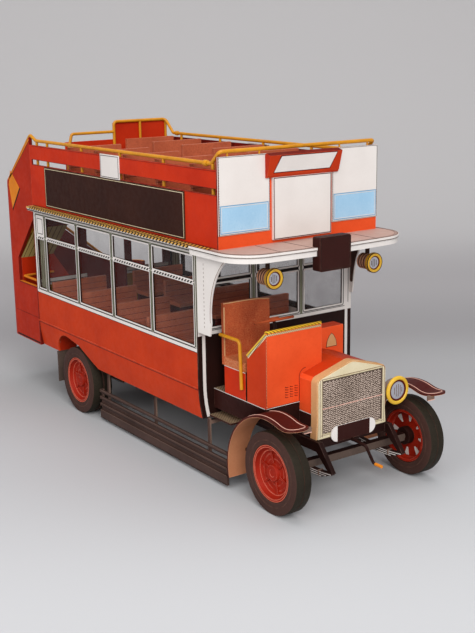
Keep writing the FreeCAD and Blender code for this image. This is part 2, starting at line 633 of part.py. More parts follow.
RAIL_DROP = 6.0                             # height of the rear rail's sloping offside end
RAIL_DROP_RUN = 1.6


def rail_posts(x, stations, top_z):
    return [rod_between(V(x, y, DECK_Z), V(x, y, top_z), POST) for y in stations]


def make_front_rail():
    x = RAIL_X_SIDE
    y_front = UPPER_FRONT_Y + CARD / 2
    bend_y = y_front + FRONT_RAIL_Z - RAIL_Z + CARD
    path = [V(-x, SLEEVE_Y, RAIL_Z), V(-x, bend_y, RAIL_Z), V(-x, y_front, FRONT_RAIL_Z),
            V(x, y_front, FRONT_RAIL_Z), V(x, bend_y, RAIL_Z), V(x, SLEEVE_Y, RAIL_Z)]
    pieces = [bent_wire(path, WIRE, FRONT_BEND)]
    for post_x in FRONT_POSTS:
        for px in (-post_x, post_x):
            pieces.append(rod_between(V(px, y_front, FRONT_TOP_Z), V(px, y_front, FRONT_RAIL_Z),
                                      FRONT_POST_RADIUS))
    for px in (-x, x):
        pieces.append(rod_between(V(px, SLEEVE_Y, RAIL_Z), V(px, SLEEVE_Y - SLEEVE_LENGTH, RAIL_Z),
                                  SLEEVE_RADIUS))
        pieces += rail_posts(px, [FIRST_POST_Y], RAIL_Z)
    room = box(-UPPER_INNER, UPPER_INNER, UPPER_FRONT_Y - WIRE, SLEEVE_Y, DECK_Z, OVER_Z)
    add("handrail_front", fused(pieces).common(room))


def make_side_rails():
    """The offside rail runs on down the stair panel's slanted edge, and round its corner."""
    x = RAIL_X_SIDE
    lift = WIRE * math.sqrt(1.0 + SHELL_SLOPE ** 2)
    rear_y = PLATFORM_END_Y - SHELL_WALL + WIRE
    top_y = SALOON_END_Y + OFFSIDE_APEX
    path = [V(-x, SLEEVE_Y, RAIL_Z), V(-x, OFFSIDE_RISE_Y, RAIL_Z),
            V(-x, top_y, SHELL_TOP_Z + lift + SKIN_GAP),
            V(-x, CORNER_Y + 1.0, CORNER_Z - SHELL_SLOPE + lift + SKIN_GAP),
            V(CORNER_X - 1.0, rear_y, REAR_EDGE_Z + SHELL_SLOPE + lift + EDGE_SEAT),
            V(DASH_X, rear_y, DASH_TOP_Z + lift + SKIN_GAP)]
    offside = bent_wire(path, WIRE, 1.5)
    add("handrails_side", fused([offside] + rail_posts(-x, SIDE_POSTS + [STAIR_POST_Y], RAIL_Z)))
    nearside = rod_between(V(x, SLEEVE_Y, RAIL_Z), V(x, NEARSIDE_END_Y, RAIL_Z), WIRE)
    add("handrails_side", fused([nearside] + rail_posts(x, SIDE_POSTS, RAIL_Z)))


def make_rear_rail():
    y = REAR_WALL_Y - WIRE
    top = RAISED_TOP_Z + WIRE
    x = RAIL_X_SIDE
    end_x = -STAIR_X + WIRE
    low = bent_wire([V(end_x, y, DECK_Z), V(end_x, y, REAR_RAIL_Z - RAIL_DROP),
                     V(end_x + RAIL_DROP_RUN, y, REAR_RAIL_Z), V(RAISED_X, y, REAR_RAIL_Z)],
                    WIRE, 1.0)
    high = bent_wire([V(RAISED_X, y, DECK_Z), V(RAISED_X, y, top), V(x, y, top),
                      V(x, NEARSIDE_RISE_Y, RAIL_Z), V(x, NEARSIDE_END_Y, RAIL_Z)], WIRE, 1.2)
    posts = [rod_between(V(px, y, DECK_Z), V(px, y, top), POST) for px in (MIDDLE_POST_X, x)]
    sleeve = rod_between(V(x, NEARSIDE_END_Y, RAIL_Z), V(x, NEARSIDE_END_Y + SLEEVE_LENGTH, RAIL_Z),
                         SLEEVE_RADIUS)
    room = box(-REACH, UPPER_INNER, NEARSIDE_END_Y, REAR_WALL_Y, DECK_Z, OVER_Z)
    add("handrail_rear", fused([low, high, sleeve] + posts).common(room))


make_front_rail()
make_side_rails()
make_rear_rail()

# ---------------------------------------------------------------- seats
UPPER_ROWS = 6
UPPER_LAST_Y = SALOON_END_Y - 7.3       # front of the rearmost upper row's back
UPPER_FIRST_Y = UPPER_FRONT_Y + 13.65
UPPER_PITCH = (UPPER_LAST_Y - UPPER_FIRST_Y) / (UPPER_ROWS - 1)
UPPER_SEAT_X = (5.75, UPPER_INNER - 1.35)
UPPER_BACK_TOP = DECK_Z + 19.4
SALOON_ROWS = 4
SALOON_LAST_Y = SALOON_END_Y - 9.5
SALOON_FIRST_Y = BULKHEAD_Y + 26.3
SALOON_PITCH = (SALOON_LAST_Y - SALOON_FIRST_Y) / (SALOON_ROWS - 1)
SALOON_SEAT_X = (5.2, BODY_HALF - 1.3)
SALOON_BACK_TOP = FLOOR_Z + 14.6
SEAT_DEPTH = 8.5
SEAT_HEIGHT = 8.6
SEAT_THICK = 1.2
LEG_SET_BACK = 1.0
LEG_THICK = 0.8


def seat(x_range, back_y, floor_z, back_top):
    """A bench seat facing forward: legs, squab and a straight back."""
    x0, x1 = x_range
    front_y = back_y - SEAT_DEPTH
    squab_z = floor_z + SEAT_HEIGHT
    squab = box(x0, x1, front_y, back_y, squab_z - SEAT_THICK, squab_z)
    back = box(x0, x1, back_y, back_y + SEAT_THICK, squab_z - SEAT_THICK, back_top)
    pieces = [squab, back]
    for leg_y in (front_y + LEG_SET_BACK, back_y - LEG_THICK):
        pieces.append(box(x0 + LEG_SET_BACK, x1 - LEG_SET_BACK, leg_y, leg_y + LEG_THICK,
                          floor_z, squab_z - SEAT_THICK))
    return fused(pieces)


def make_seats():
    for row in range(UPPER_ROWS):
        bench = seat(UPPER_SEAT_X, UPPER_LAST_Y - row * UPPER_PITCH, DECK_Z, UPPER_BACK_TOP)
        add("upper_seats", bench)
        if row > 0:
            add("upper_seats", mirrored(bench))
    for row in range(SALOON_ROWS):
        bench = seat(SALOON_SEAT_X, SALOON_LAST_Y - row * SALOON_PITCH, FLOOR_Z, SALOON_BACK_TOP)
        add("saloon_seats", bench, mirrored(bench))


make_seats()

# ---------------------------------------------------------------- platform and stairs
def shell_block(inset, z0, z1):
    """Plan of the platform: straight sides, two round rear corners."""
    half = UPPER_HALF - inset
    r = PLATFORM_CORNER - inset
    rear = PLATFORM_END_Y - inset
    side_y = rear - r
    d = r * math.sqrt(0.5)
    y0 = SALOON_END_Y
    edges = [Part.LineSegment(V(-half, y0, z0), V(half, y0, z0)).toShape(),
             Part.LineSegment(V(half, y0, z0), V(half, side_y, z0)).toShape(),
             Part.Arc(V(half, side_y, z0), V(half - r + d, side_y + d, z0),
                      V(half - r, rear, z0)).toShape(),
             Part.LineSegment(V(half - r, rear, z0), V(-half + r, rear, z0)).toShape(),
             Part.Arc(V(-half + r, rear, z0), V(-half + r - d, side_y + d, z0),
                      V(-half, side_y, z0)).toShape(),
             Part.LineSegment(V(-half, side_y, z0), V(-half, y0, z0)).toShape()]
    return solid_from(edges, V(0, 0, z1 - z0))


def block_over(base, edge_z):
    """A four-sided block from a slanted foot, given as height over (x, y), up to OVER_Z."""
    low = [V(x, y, edge_z(x, y)) for x, y in base]
    high = [V(x, y, OVER_Z) for x, y in base]
    outlines = [low, high]
    for i in range(len(base)):
        outlines.append([low[i - 1], low[i], high[i], high[i - 1]])
    return Part.Solid(Part.Shell([Part.Face(Part.Wire(polygon(points))) for points in outlines]))


def above_shell_edge():
    """What is cut away over the stair panel's falling edge: side, corner, then rear."""
    y0 = SALOON_END_Y - 1
    side = plate_x([(y0, SHELL_TOP_Z + SHELL_SLOPE), (CORNER_Y, CORNER_Z), (CORNER_Y, OVER_Z),
                    (y0, OVER_Z)], -REACH, CORNER_X)
    rear = plate_y([(CORNER_X, REAR_EDGE_Z), (DASH_X, DASH_TOP_Z), (REACH, DASH_TOP_Z),
                    (REACH, OVER_Z), (CORNER_X, OVER_Z)], CORNER_Y, PLATFORM_END_Y + 1)
    far_x, far_y = -UPPER_HALF - 1, PLATFORM_END_Y + 1
    fall = (CORNER_Z - REAR_EDGE_Z) / 2 / PLATFORM_CORNER
    corner = block_over([(far_x, CORNER_Y), (CORNER_X, CORNER_Y), (CORNER_X, far_y), (far_x, far_y)],
                        lambda x, y: CORNER_Z - fall * (y - CORNER_Y) - fall * (x + UPPER_HALF))
    return [side, rear, corner]


def make_platform():
    floor = shell_block(SHELL_WALL + SKIN_GAP, PLATFORM_Z - CARD, PLATFORM_Z)
    add("platform_floor", floor)
    shell = shell_block(0.0, PLATFORM_SKIRT_Z, SHELL_TOP_Z + 1)
    shell = shell.cut(shell_block(SHELL_WALL, PLATFORM_SKIRT_Z - 1, SHELL_TOP_Z + 2))
    y0 = SALOON_END_Y - 1
    entrance = box(0, REACH, y0, CORNER_Y, 0, OVER_Z)
    gap_slope = (GAP_TOP_Z - GAP_CORNER_Z) / (CASING_Y - SALOON_END_Y)
    side_gap = plate_x([(y0, DASH_TOP_Z), (CASING_Y, DASH_TOP_Z), (CASING_Y, GAP_CORNER_Z),
                        (y0, GAP_TOP_Z + gap_slope)], -REACH, CORNER_X)
    shell = cut_all(shell, above_shell_edge() + [entrance, side_gap])
    add("stair_panel", max(shell.Solids, key=lambda solid: solid.Volume))


def make_stairs():
    """Folded card steps: straight down beside the offside, winding, then across the back."""
    x_out = -UPPER_HALF + SHELL_WALL + SKIN_GAP
    x_in = -STAIR_X
    y_out = PLATFORM_END_Y - SHELL_WALL - SKIN_GAP
    y_turn = CASING_Y + CARD
    going = (y_turn - SALOON_END_Y) / STRAIGHT_STEPS
    plates = []
    z = DECK_Z
    for step in range(STRAIGHT_STEPS):
        z -= STEP_RISE
        y0 = SALOON_END_Y + step * going
        plates.append(box(x_out, x_in, y0, y0 + going, z - CARD, z))
        plates.append(box(x_out, x_in, y0, y0 + CARD, z - CARD, z + STEP_RISE))
    reach = 2 * (y_out - y_turn)
    for step in range(WINDERS):
        z -= STEP_RISE
        turn = math.pi / 2 / WINDERS
        start, end = [V(-math.cos(angle), math.sin(angle), 0)
                      for angle in (step * turn, (step + 1) * turn)]
        pivot = V(x_in, y_turn, z - CARD)
        tread = polygon([pivot, pivot + start * reach, pivot + (start + end) * reach,
                         pivot + end * reach])
        plates.append(solid_from(tread, V(0, 0, CARD)))
        across = V(start.y, -start.x, 0) * CARD
        riser = polygon([pivot, pivot + start * reach, pivot + start * reach + across,
                         pivot + across])
        plates.append(solid_from(riser, V(0, 0, STEP_RISE + CARD)))
    for step in range(LOWER_STEPS):
        z -= STEP_RISE
        x0 = x_in + step * LOWER_GOING
        plates.append(box(x0, x0 + LOWER_GOING, y_turn, y_out, z - CARD, z))
        plates.append(box(x0, x0 + CARD, y_turn, y_out, z - CARD, z + STEP_RISE))
    x_end = x_in + LOWER_STEPS * LOWER_GOING
    plates.append(box(x_end - CARD, x_end, y_turn, y_out, PLATFORM_Z, z))
    room = shell_block(SHELL_WALL + SKIN_GAP, PLATFORM_Z, DECK_Z)
    add("staircase", fused(plates).common(room))
    return x_out, x_in, x_end, z


def make_stair_casing(x_out, x_in, x_end, z_end):
    """Card that closes the stairs from below: a slanted soffit, a wall and a banister panel."""
    y0, y1 = SALOON_END_Y, CASING_Y + CARD
    slope = (SOFFIT_TOP_Z - SOFFIT_FOOT_Z) / (CASING_Y - SALOON_END_Y)
    foot_z = SOFFIT_FOOT_Z - slope * CARD
    soffit = plate_x([(y0, SOFFIT_TOP_Z), (y1, foot_z), (y1, foot_z - THIN),
                      (y0, SOFFIT_TOP_Z - THIN)], x_out, x_in)
    wall = plate_y([(x_out, PLATFORM_Z), (x_end, PLATFORM_Z), (x_end, z_end + STRINGER_ABOVE),
                    (x_in + THIN, SOFFIT_FOOT_Z), (x_out, SOFFIT_FOOT_Z)], CASING_Y, y1)
    banister = plate_x([(y0, SOFFIT_TOP_Z - THIN), (y0, DECK_Z + STRINGER_ABOVE),
                        (y1, SOFFIT_FOOT_Z + STEP_RISE), (y1, foot_z - THIN)], x_in, x_in + THIN)
    add("stair_casing", fused([soffit, wall, banister]))


def make_platform_rail():
    x = -UPPER_HALF + SHELL_WALL + PLATFORM_RAIL_RADIUS
    y = CASING_Y - PLATFORM_RAIL_RADIUS
    z = PLATFORM_RAIL_Z
    rail = bent_wire([V(x, SALOON_END_Y, z), V(x, y, z), V(-STAIR_X, y, z)],
                     PLATFORM_RAIL_RADIUS, 0.8)
    add("platform_rail", rail)


make_platform()
make_stair_casing(*make_stairs())
make_platform_rail()

# ---------------------------------------------------------------- cab
GUARD_X = (BODY_HALF - 6.3, BODY_HALF - 0.1)
GUARD_CENTRE = (0.0, WHEEL_RADIUS - 1.8)
GUARD_RADIUS = WHEEL_RADIUS + 5.3
GUARD_FOOT_ANGLE = -14.0
TIP_OFFSET = (-6.9, 23.8)       # from the guard's centre to the centre of its upswept tip
TIP_ANGLE = 244.0

CAB_X = 4.6 - BODY_HALF         # outer face of the cab's side
DASH_Y = BULKHEAD_Y - 22.5      # front face of the dash
DASH_RIGHT_X = -3.6
CAB_FLOOR_Z = GUARD_CENTRE[1] + GUARD_RADIUS + GLUE_GAP
CAB_UNDER_Z = CAB_FLOOR_Z - 5.2
DASH_TOP = CAB_FLOOR_Z + 19.0
WING_END_Y = DASH_Y + 7.9
WING_END_Z = DASH_TOP - 7.1
BONNET_HALF = 10.6
BONNET_FOOT_Z = CAB_UNDER_Z + 3.2
BONNET_CORNER_Z = BONNET_FOOT_Z + 9.2
BONNET_PEAK_Z = BONNET_FOOT_Z + 12.0
BONNET_CHAMFER = 0.9
BONNET_RIDGE = 0.6              # half-width of the flat along the bonnet's ridge
BONNET_Y = (0.4, BULKHEAD_Y - 7.9)
SCUTTLE_X = (-2.0, 12.4)
SCUTTLE_LENGTH = 4.0
SCUTTLE_TOP_Z = BONNET_FOOT_Z + 16.0
SEAT_BOX_Y = (BULKHEAD_Y - 14.0, BULKHEAD_Y - 4.9)
SEAT_BOX_TOP_Z = CAB_FLOOR_Z + 7.2
CUSHION_THICK = 2.2
SEAT_BACK_X = -6.4              # inner edge of the driver's seat back
SEAT_BACK_THICK = 1.0
SEAT_BACK_TOP_Z = CAB_FLOOR_Z + 23.0
CAB_STEP_X = (3.0 - BODY_HALF, 8.9 - BODY_HALF)
CAB_STEP_LENGTH = 9.5
CAB_STEP_Z = SKIRT_Z + 0.4
COLUMN_X = -12.4
STEERING_RADIUS = 4.7
STEERING_RIM = 0.35
STEERING_TILT = 16.6
COLUMN_RADIUS = 0.45
CAB_RAIL_RADIUS = 0.45
CAB_RAIL_Z = CAB_FLOOR_Z + 15.0


def make_cab():
    x0 = CAB_X
    wall_y = DASH_Y + CARD
    dash = box(x0, DASH_RIGHT_X, DASH_Y, wall_y, CAB_FLOOR_Z, DASH_TOP)
    wing = plate_x([(wall_y, CAB_FLOOR_Z), (WING_END_Y, CAB_FLOOR_Z), (WING_END_Y, WING_END_Z),
                    (wall_y, DASH_TOP - CARD)], x0, x0 + CARD)
    add("cab_dash", fused([dash, wing]))
    floor = box(x0, -BONNET_HALF, DASH_Y, BULKHEAD_Y, CAB_UNDER_Z, CAB_FLOOR_Z)
    guard_space = Part.makeCylinder(GUARD_RADIUS + CARD + SKIN_GAP, -x0 - GUARD_X[0] + GLUE_GAP,
                                    V(x0, *GUARD_CENTRE), V(1, 0, 0))
    add("cab_floor", floor.cut(guard_space))
    y0, y1 = SEAT_BOX_Y
    add("seat_box", box(x0, -BONNET_HALF, y0, y1, CAB_FLOOR_Z, SEAT_BOX_TOP_Z))
    cushion = box(x0, -BONNET_HALF, y0 + CARD, y1, SEAT_BOX_TOP_Z, SEAT_BOX_TOP_Z + CUSHION_THICK)
    back = box(x0, SEAT_BACK_X, y1, y1 + SEAT_BACK_THICK, CAB_FLOOR_Z, SEAT_BACK_TOP_Z)
    add("driver_seat", fused([cushion, back]))
    add("cab_step", box(*CAB_STEP_X, BULKHEAD_Y - CAB_STEP_LENGTH, BULKHEAD_Y, CAB_STEP_Z,
                        CAB_STEP_Z + CARD))


def make_wheel_and_column():
    centre = V(COLUMN_X, DASH_Y + 7.8, DASH_TOP + 0.4)
    tilt = math.radians(STEERING_TILT)
    axis = V(0, math.sin(tilt), math.cos(tilt))
    rim = Part.makeTorus(STEERING_RADIUS, STEERING_RIM, centre, axis)
    foot = V(COLUMN_X, DASH_Y + 3.2, CAB_FLOOR_Z)
    column = rod_between(foot, centre, COLUMN_RADIUS)
    spokes = []
    for direction in (V(1, 0, 0), V(0, math.cos(tilt), -math.sin(tilt))):
        reach = direction * STEERING_RADIUS
        spokes.append(rod_between(centre - reach, centre + reach, STEERING_RIM * 0.85))
    add("steering_wheel", fused([rim, column] + spokes))


def make_cab_rail():
    x = CAB_X - CAB_RAIL_RADIUS
    rear_y = SEAT_BOX_Y[1] + SEAT_BACK_THICK
    bend_y = SEAT_BOX_Y[0] + 1.7
    rail = bent_wire([V(x, rear_y, CAB_RAIL_Z), V(x, bend_y, CAB_RAIL_Z),
                      V(x, bend_y - 0.6, CAB_FLOOR_Z + 2.8)], CAB_RAIL_RADIUS, 1.2)
    add("cab_rail", rail)


def ridged(half, foot_half, foot_z, corner_z, peak_z, chamfer, ridge):
    """The outline that the bonnet and the radiator share: upright sides under a shallow ridge."""
    right = [(foot_half, foot_z), (half, corner_z - chamfer), (half - chamfer, corner_z),
             (ridge, peak_z)]
    return right + [(-x, z) for x, z in reversed(right)]


def make_bonnet():
    """A ridged bonnet from the radiator back to the bulkhead."""
    section = ridged(BONNET_HALF, BONNET_HALF, BONNET_FOOT_Z, BONNET_CORNER_Z, BONNET_PEAK_Z,
                     BONNET_CHAMFER, BONNET_RIDGE)
    y0, y1 = BONNET_Y
    bonnet = plate_y(section, y0, y1)
    bonnet = bonnet.cut(box(CAB_X, DASH_RIGHT_X, DASH_Y, BULKHEAD_Y, BONNET_FOOT_Z, OVER_Z))
    add("bonnet", bonnet)
    locker = box(*SCUTTLE_X, y1 - SCUTTLE_LENGTH, y1, BONNET_FOOT_Z, SCUTTLE_TOP_Z).cut(bonnet)
    add("scuttle", max(locker.Solids, key=lambda solid: solid.Volume))
    add("engine_valance", box(-BONNET_HALF, BONNET_HALF, y0, BULKHEAD_Y, FRAME_TOP_Z, BONNET_FOOT_Z))


RADIATOR_HALF = BONNET_HALF + 0.4
RADIATOR_DEPTH = 2.8
RADIATOR_RISE = 0.5             # how far the radiator stands over the bonnet
RADIATOR_Y = BONNET_Y[0] - RADIATOR_DEPTH
PLATE_HALF = 5.2                # straight part of the number plate
PLATE_RADIUS = 2.0
PLATE_Z = FRAME_TOP_Z + 0.6
LAMP_RING_RADIUS = 3.7
HEADLAMP_X = GUARD_X[0] - 0.2 - LAMP_RING_RADIUS
HEADLAMP_Z = BONNET_FOOT_Z + 1.8
HEADLAMP_RING = 0.8             # depth of the ring
HEADLAMP_BOWL = (1.6, 3.2)      # radii of the bowl's back and front
HEADLAMP_BOWL_DEPTH = 3.2
STAY_THICK = 0.9
CRANK_RADIUS = 0.4


def make_radiator():
    section = ridged(RADIATOR_HALF, RADIATOR_HALF + 0.3, FRAME_TOP_Z, BONNET_CORNER_Z + RADIATOR_RISE,
                     BONNET_PEAK_Z + RADIATOR_RISE - 0.2, BONNET_CHAMFER + 0.1, BONNET_RIDGE + 0.2)
    add("radiator", plate_y(section, RADIATOR_Y, RADIATOR_Y + RADIATOR_DEPTH))
    plate_y0 = RADIATOR_Y - THIN
    pieces = [box(-PLATE_HALF, PLATE_HALF, plate_y0, RADIATOR_Y, PLATE_Z - PLATE_RADIUS,
                  PLATE_Z + PLATE_RADIUS)]
    for x in (-PLATE_HALF, PLATE_HALF):
        pieces.append(Part.makeCylinder(PLATE_RADIUS, THIN, V(x, plate_y0, PLATE_Z), V(0, 1, 0)))
    add("number_plate", fused(pieces))


def make_headlamp():
    """The single headlamp, on a stay from the nearside of the radiator."""
    x, z = HEADLAMP_X, HEADLAMP_Z
    stay_y = BONNET_Y[0] + 0.1
    bowl_y = RADIATOR_Y + HEADLAMP_RING
    bowl = Part.makeCone(*HEADLAMP_BOWL, HEADLAMP_BOWL_DEPTH,
                         V(x, bowl_y + HEADLAMP_BOWL_DEPTH, z), V(0, -1, 0))
    ring = Part.makeCylinder(LAMP_RING_RADIUS, HEADLAMP_RING, V(x, RADIATOR_Y, z), V(0, 1, 0))
    arm = box(BONNET_HALF, x - 1.2, stay_y, stay_y + STAY_THICK, z - 0.8, z + 0.8)
    strut = plate_y([(BONNET_HALF, z - 6.4), (BONNET_HALF + 1.6, z - 6.4), (x - 0.5, z - 1.4),
                     (x - 1.9, z - 1.4)], stay_y, stay_y + STAY_THICK)
    add("headlamp", fused([bowl, ring, arm, strut]))


make_cab()
make_wheel_and_column()
make_cab_rail()
make_bonnet()
make_radiator()
make_headlamp()

# ---------------------------------------------------------------- mudguards and side rails
FRAME_FACE_X = RAIL_X + RAIL_WIDTH / 2
STAY_Z = WHEEL_RADIUS + 0.3
SLAT_THICK = 0.6
SLATS = ((1.0, 3.6), (4.8, 5.7), (6.9, 7.8), (9.0, 9.9))    # foot and top of each slat


def guard_block(grow):
    """Front mudguard profile: a round back and an upswept tip."""
    cy, cz = GUARD_CENTRE
    ty, tz = cy + TIP_OFFSET[0], cz + TIP_OFFSET[1]
    span = math.hypot(*TIP_OFFSET)
    join = (cy + (ty - cy) * GUARD_RADIUS / span, cz + (tz - cz) * GUARD_RADIUS / span)
    tip_radius = span - GUARD_RADIUS
    back = math.radians(GUARD_FOOT_ANGLE)
    rise = math.atan2(tz - cz, ty - cy)

    def on_guard(angle, radius):
        return V(GUARD_X[0], cy + radius * math.cos(angle), cz + radius * math.sin(angle))

    def on_tip(angle, radius):
        return V(GUARD_X[0], ty + radius * math.cos(angle), tz + radius * math.sin(angle))

    tip = math.radians(TIP_ANGLE)
    at_join = rise + math.pi
    outer, inner = GUARD_RADIUS + grow, GUARD_RADIUS
    tip_outer, tip_inner = tip_radius - grow, tip_radius
    edges = [Part.Arc(on_guard(back, outer), on_guard((back + rise) / 2, outer),
                      on_guard(rise, outer)).toShape(),
             Part.Arc(on_tip(at_join, tip_outer), on_tip((at_join + tip) / 2, tip_outer),
                      on_tip(tip, tip_outer)).toShape(),
             Part.LineSegment(on_tip(tip, tip_outer), on_tip(tip, tip_inner)).toShape(),
             Part.Arc(on_tip(tip, tip_inner), on_tip((at_join + tip) / 2, tip_inner),
                      on_tip(at_join, tip_inner)).toShape(),
             Part.Arc(on_guard(rise, inner), on_guard((back + rise) / 2, inner),
                      on_guard(back, inner)).toShape(),
             Part.LineSegment(on_guard(back, inner), on_guard(back, outer)).toShape()]
    return solid_from(edges, V(GUARD_X[1] - GUARD_X[0], 0, 0))


def make_mudguards():
    guard = guard_block(CARD)
    middle = sum(GUARD_X) / 2
    half = (GUARD_X[1] - GUARD_X[0]) / 2
    tip_y = FRONT_END_Y
    round_end = Part.makeCylinder(half, OVER_Z, V(middle, tip_y + half, 0))
    rest = box(*GUARD_X, tip_y + half, 2 * GUARD_RADIUS, 0, OVER_Z)
    guard = guard.common(fused([rest, round_end]))
    add("mudguards", guard, mirrored(guard))
    x_guard = GUARD_X[0] + 1.0
    y0, y1 = GUARD_RADIUS - 1.2, GUARD_RADIUS - 0.2
    arm = box(FRAME_FACE_X, x_guard, y0, y1, STAY_Z, STAY_Z + 0.8)
    drop = box(FRAME_FACE_X, FRAME_FACE_X + 0.8, y0, y1, STAY_Z, FRAME_TOP_Z)
    stays = fused([arm, drop]).cut(guard)
    add("mudguard_stays", stays, mirrored(stays))


def make_lifeguards():
    """Slatted rails between the wheels, hung from the frame on strips."""
    x0 = BODY_HALF - 2.4
    x1 = x0 + SLAT_THICK
    y0 = WHEEL_RADIUS + 8.3
    y1 = WHEELBASE - WHEEL_RADIUS - 0.9
    last_y = y1 - 5.0
    first_y = y0 + 8.4
    top_z = SLATS[-1][1]
    pieces = [box(x0, x1, y0, y1, low, high) for low, high in SLATS]
    for y in (first_y, (first_y + last_y) / 2, last_y):
        pieces.append(box(x0 - CARD, x0, y, y + 1.0, SLATS[0][0] + 0.2, SKIRT_Z))
        pieces.append(box(FRAME_FACE_X, x0, y, y + 1.0, SKIRT_Z - 1.5, SKIRT_Z - 0.5))
    pieces.append(box(x0 - CARD, x0, y1 - 1.0, y1, SLATS[0][0], top_z))
    guard = fused(pieces)
    add("lifeguards", guard, mirrored(guard))


def make_rear_flaps():
    x0, x1 = REAR_FACE_X - 6.6, REAR_FACE_X - 0.4
    y0 = WHEELBASE + WHEEL_RADIUS + 3.9
    flap = box(x0, x1, y0, y0 + THIN, FRAME_TOP_Z - 10.0, FRAME_TOP_Z)
    arm = box(FRAME_FACE_X, x0, y0, y0 + 2 * THIN, FRAME_TOP_Z - 1.4, FRAME_TOP_Z)
    whole = fused([flap, arm])
    add("rear_mudflaps", whole, mirrored(whole))


def make_crank():
    z0 = FRAME_TOP_Z - 2.0
    throw_y = RADIATOR_Y - 4.8
    grip_z = z0 - 5.4
    path = [V(0, RADIATOR_Y, z0), V(0, throw_y, z0 - 0.4), V(2.4, throw_y - 0.2, grip_z),
            V(2.4, throw_y - 3.2, grip_z)]
    add("starting_handle", bent_wire(path, CRANK_RADIUS, 0.7))


make_mudguards()
make_lifeguards()
make_rear_flaps()
make_crank()


# ---------------------------------------------------------------- write the pieces
os.makedirs("parts", exist_ok=True)
for name, shapes in nodes.items():
    solids = [solid for shape in shapes for solid in shape.Solids]
    whole = solids[0] if len(solids) == 1 else Part.makeCompound(solids)
    whole.translate(V(0, -ORIGIN_Y, 0))
    whole.exportStep(os.path.join("parts", name + ".step"))
    sizes = whole.BoundBox
    print(f"{name:26s} solids {len(solids):2d} valid {whole.isValid()} volume {whole.Volume:9.1f}"
          f" x {sizes.XMin:7.2f} {sizes.XMax:7.2f} y {sizes.YMin:7.2f} {sizes.YMax:7.2f}"
          f" z {sizes.ZMin:6.2f} {sizes.ZMax:6.2f}")
print("nodes", len(nodes), "origin y", ORIGIN_Y)
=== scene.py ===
"""Looks of a printed-card model of an open-top double decker bus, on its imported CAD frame.

Lengths are in millimetres. Y is measured from the front axle towards the rear, and Z from
the ground. The model is cut from printed card, with film windows and painted wire rails.
"""

import json
import math

import bmesh
import bpy
from mathutils import Matrix, Vector


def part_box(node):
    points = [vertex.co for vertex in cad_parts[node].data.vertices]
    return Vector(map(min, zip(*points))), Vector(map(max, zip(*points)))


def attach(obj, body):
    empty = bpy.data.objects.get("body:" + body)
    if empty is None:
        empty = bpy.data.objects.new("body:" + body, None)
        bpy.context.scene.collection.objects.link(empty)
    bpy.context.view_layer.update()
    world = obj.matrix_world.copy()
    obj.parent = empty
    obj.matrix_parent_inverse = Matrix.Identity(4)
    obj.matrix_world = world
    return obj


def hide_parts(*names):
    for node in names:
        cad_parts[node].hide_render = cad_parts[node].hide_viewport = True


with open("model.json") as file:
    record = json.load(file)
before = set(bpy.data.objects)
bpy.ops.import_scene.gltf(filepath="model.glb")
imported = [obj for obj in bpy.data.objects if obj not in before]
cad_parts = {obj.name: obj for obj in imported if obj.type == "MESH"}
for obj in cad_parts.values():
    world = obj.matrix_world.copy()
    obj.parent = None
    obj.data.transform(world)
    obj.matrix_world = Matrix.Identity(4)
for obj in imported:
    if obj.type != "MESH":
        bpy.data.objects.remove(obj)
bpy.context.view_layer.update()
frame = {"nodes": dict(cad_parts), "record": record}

record = frame["record"]

MM = 0.001
ROOT = "bus"
axle_low, axle_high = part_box("front_axle")
AXLE_Y = (axle_low[1] + axle_high[1]) / 2.0     # metres, in the frame


def span(node):
    """A CAD node's lowest and highest corner, in mm from the front axle."""
    low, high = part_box(node)
    return tuple(Vector((c[0] / MM, (c[1] - AXLE_Y) / MM, c[2] / MM)) for c in (low, high))


# ---------------------------------------------------------------- sizes read off the frame
SIDE = span("side_panels")[1].x              # outer face of the saloon sides
UPPER = span("upper_side_panels")[1].x       # outer face of the upper deck's sides
UPPER_FRONT_Y = span("upper_front_panel")[0].y
DECK_LOW, DECK_HIGH = span("upper_deck_floor")
DECK_Z = DECK_HIGH.z
BULKHEAD_Y = span("bulkhead_frame")[0].y
SALOON_END_Y = span("rear_bulkhead")[1].y
SKIRT_Z = span("side_panels")[0].z
BELT_Z = span("window_frames")[0].z
FRONT_BELT_Z = span("bulkhead_frame")[0].z
WHEEL_R = (span("tyre_front_offside")[1].z - span("tyre_front_offside")[0].z) / 2.0
WHEELBASE = (span("rear_axle")[0].y + span("rear_axle")[1].y) / 2.0

# ---------------------------------------------------------------- printed details, in mm
RELIEF = 0.04           # one printed or glued layer stands this far off the layer below
SILL_Z = BELT_Z + 1.8
LINTEL_Z = DECK_Z - 3.1
TRANSOM_Z = LINTEL_Z - 7.2
TRANSOM_DEPTH = 1.3
FRONT_SILL_Z = FRONT_BELT_Z + 1.9
FRONT_TRANSOM_Z = TRANSOM_Z - 0.4
PILLAR = 1.9
BAY_COUNT = 4
REAR_BAY = 8.2
FIRST_PILLAR_Y = BULKHEAD_Y + 0.7
BAY_PITCH = (SALOON_END_Y - REAR_BAY - FIRST_PILLAR_Y) / BAY_COUNT
BEAD = 0.45             # width of the white bead round each pane
LINE = 0.18             # width of a printed line
WAIST_Z = BELT_Z - 9.6
CUT_EDGE = 0.14         # how far the wear of a cut edge reaches
SIDES = (-1.0, 1.0)     # offside and nearside


# ---------------------------------------------------------------- materials
def linear(code, alpha=1.0):
    """A colour written as an sRGB hex code, as the linear values that a shader takes."""
    parts = [int(code[i:i + 2], 16) / 255.0 for i in (0, 2, 4)]
    values = [c / 12.92 if c <= 0.04045 else ((c + 0.055) / 1.055) ** 2.4 for c in parts]
    return (*values, alpha)


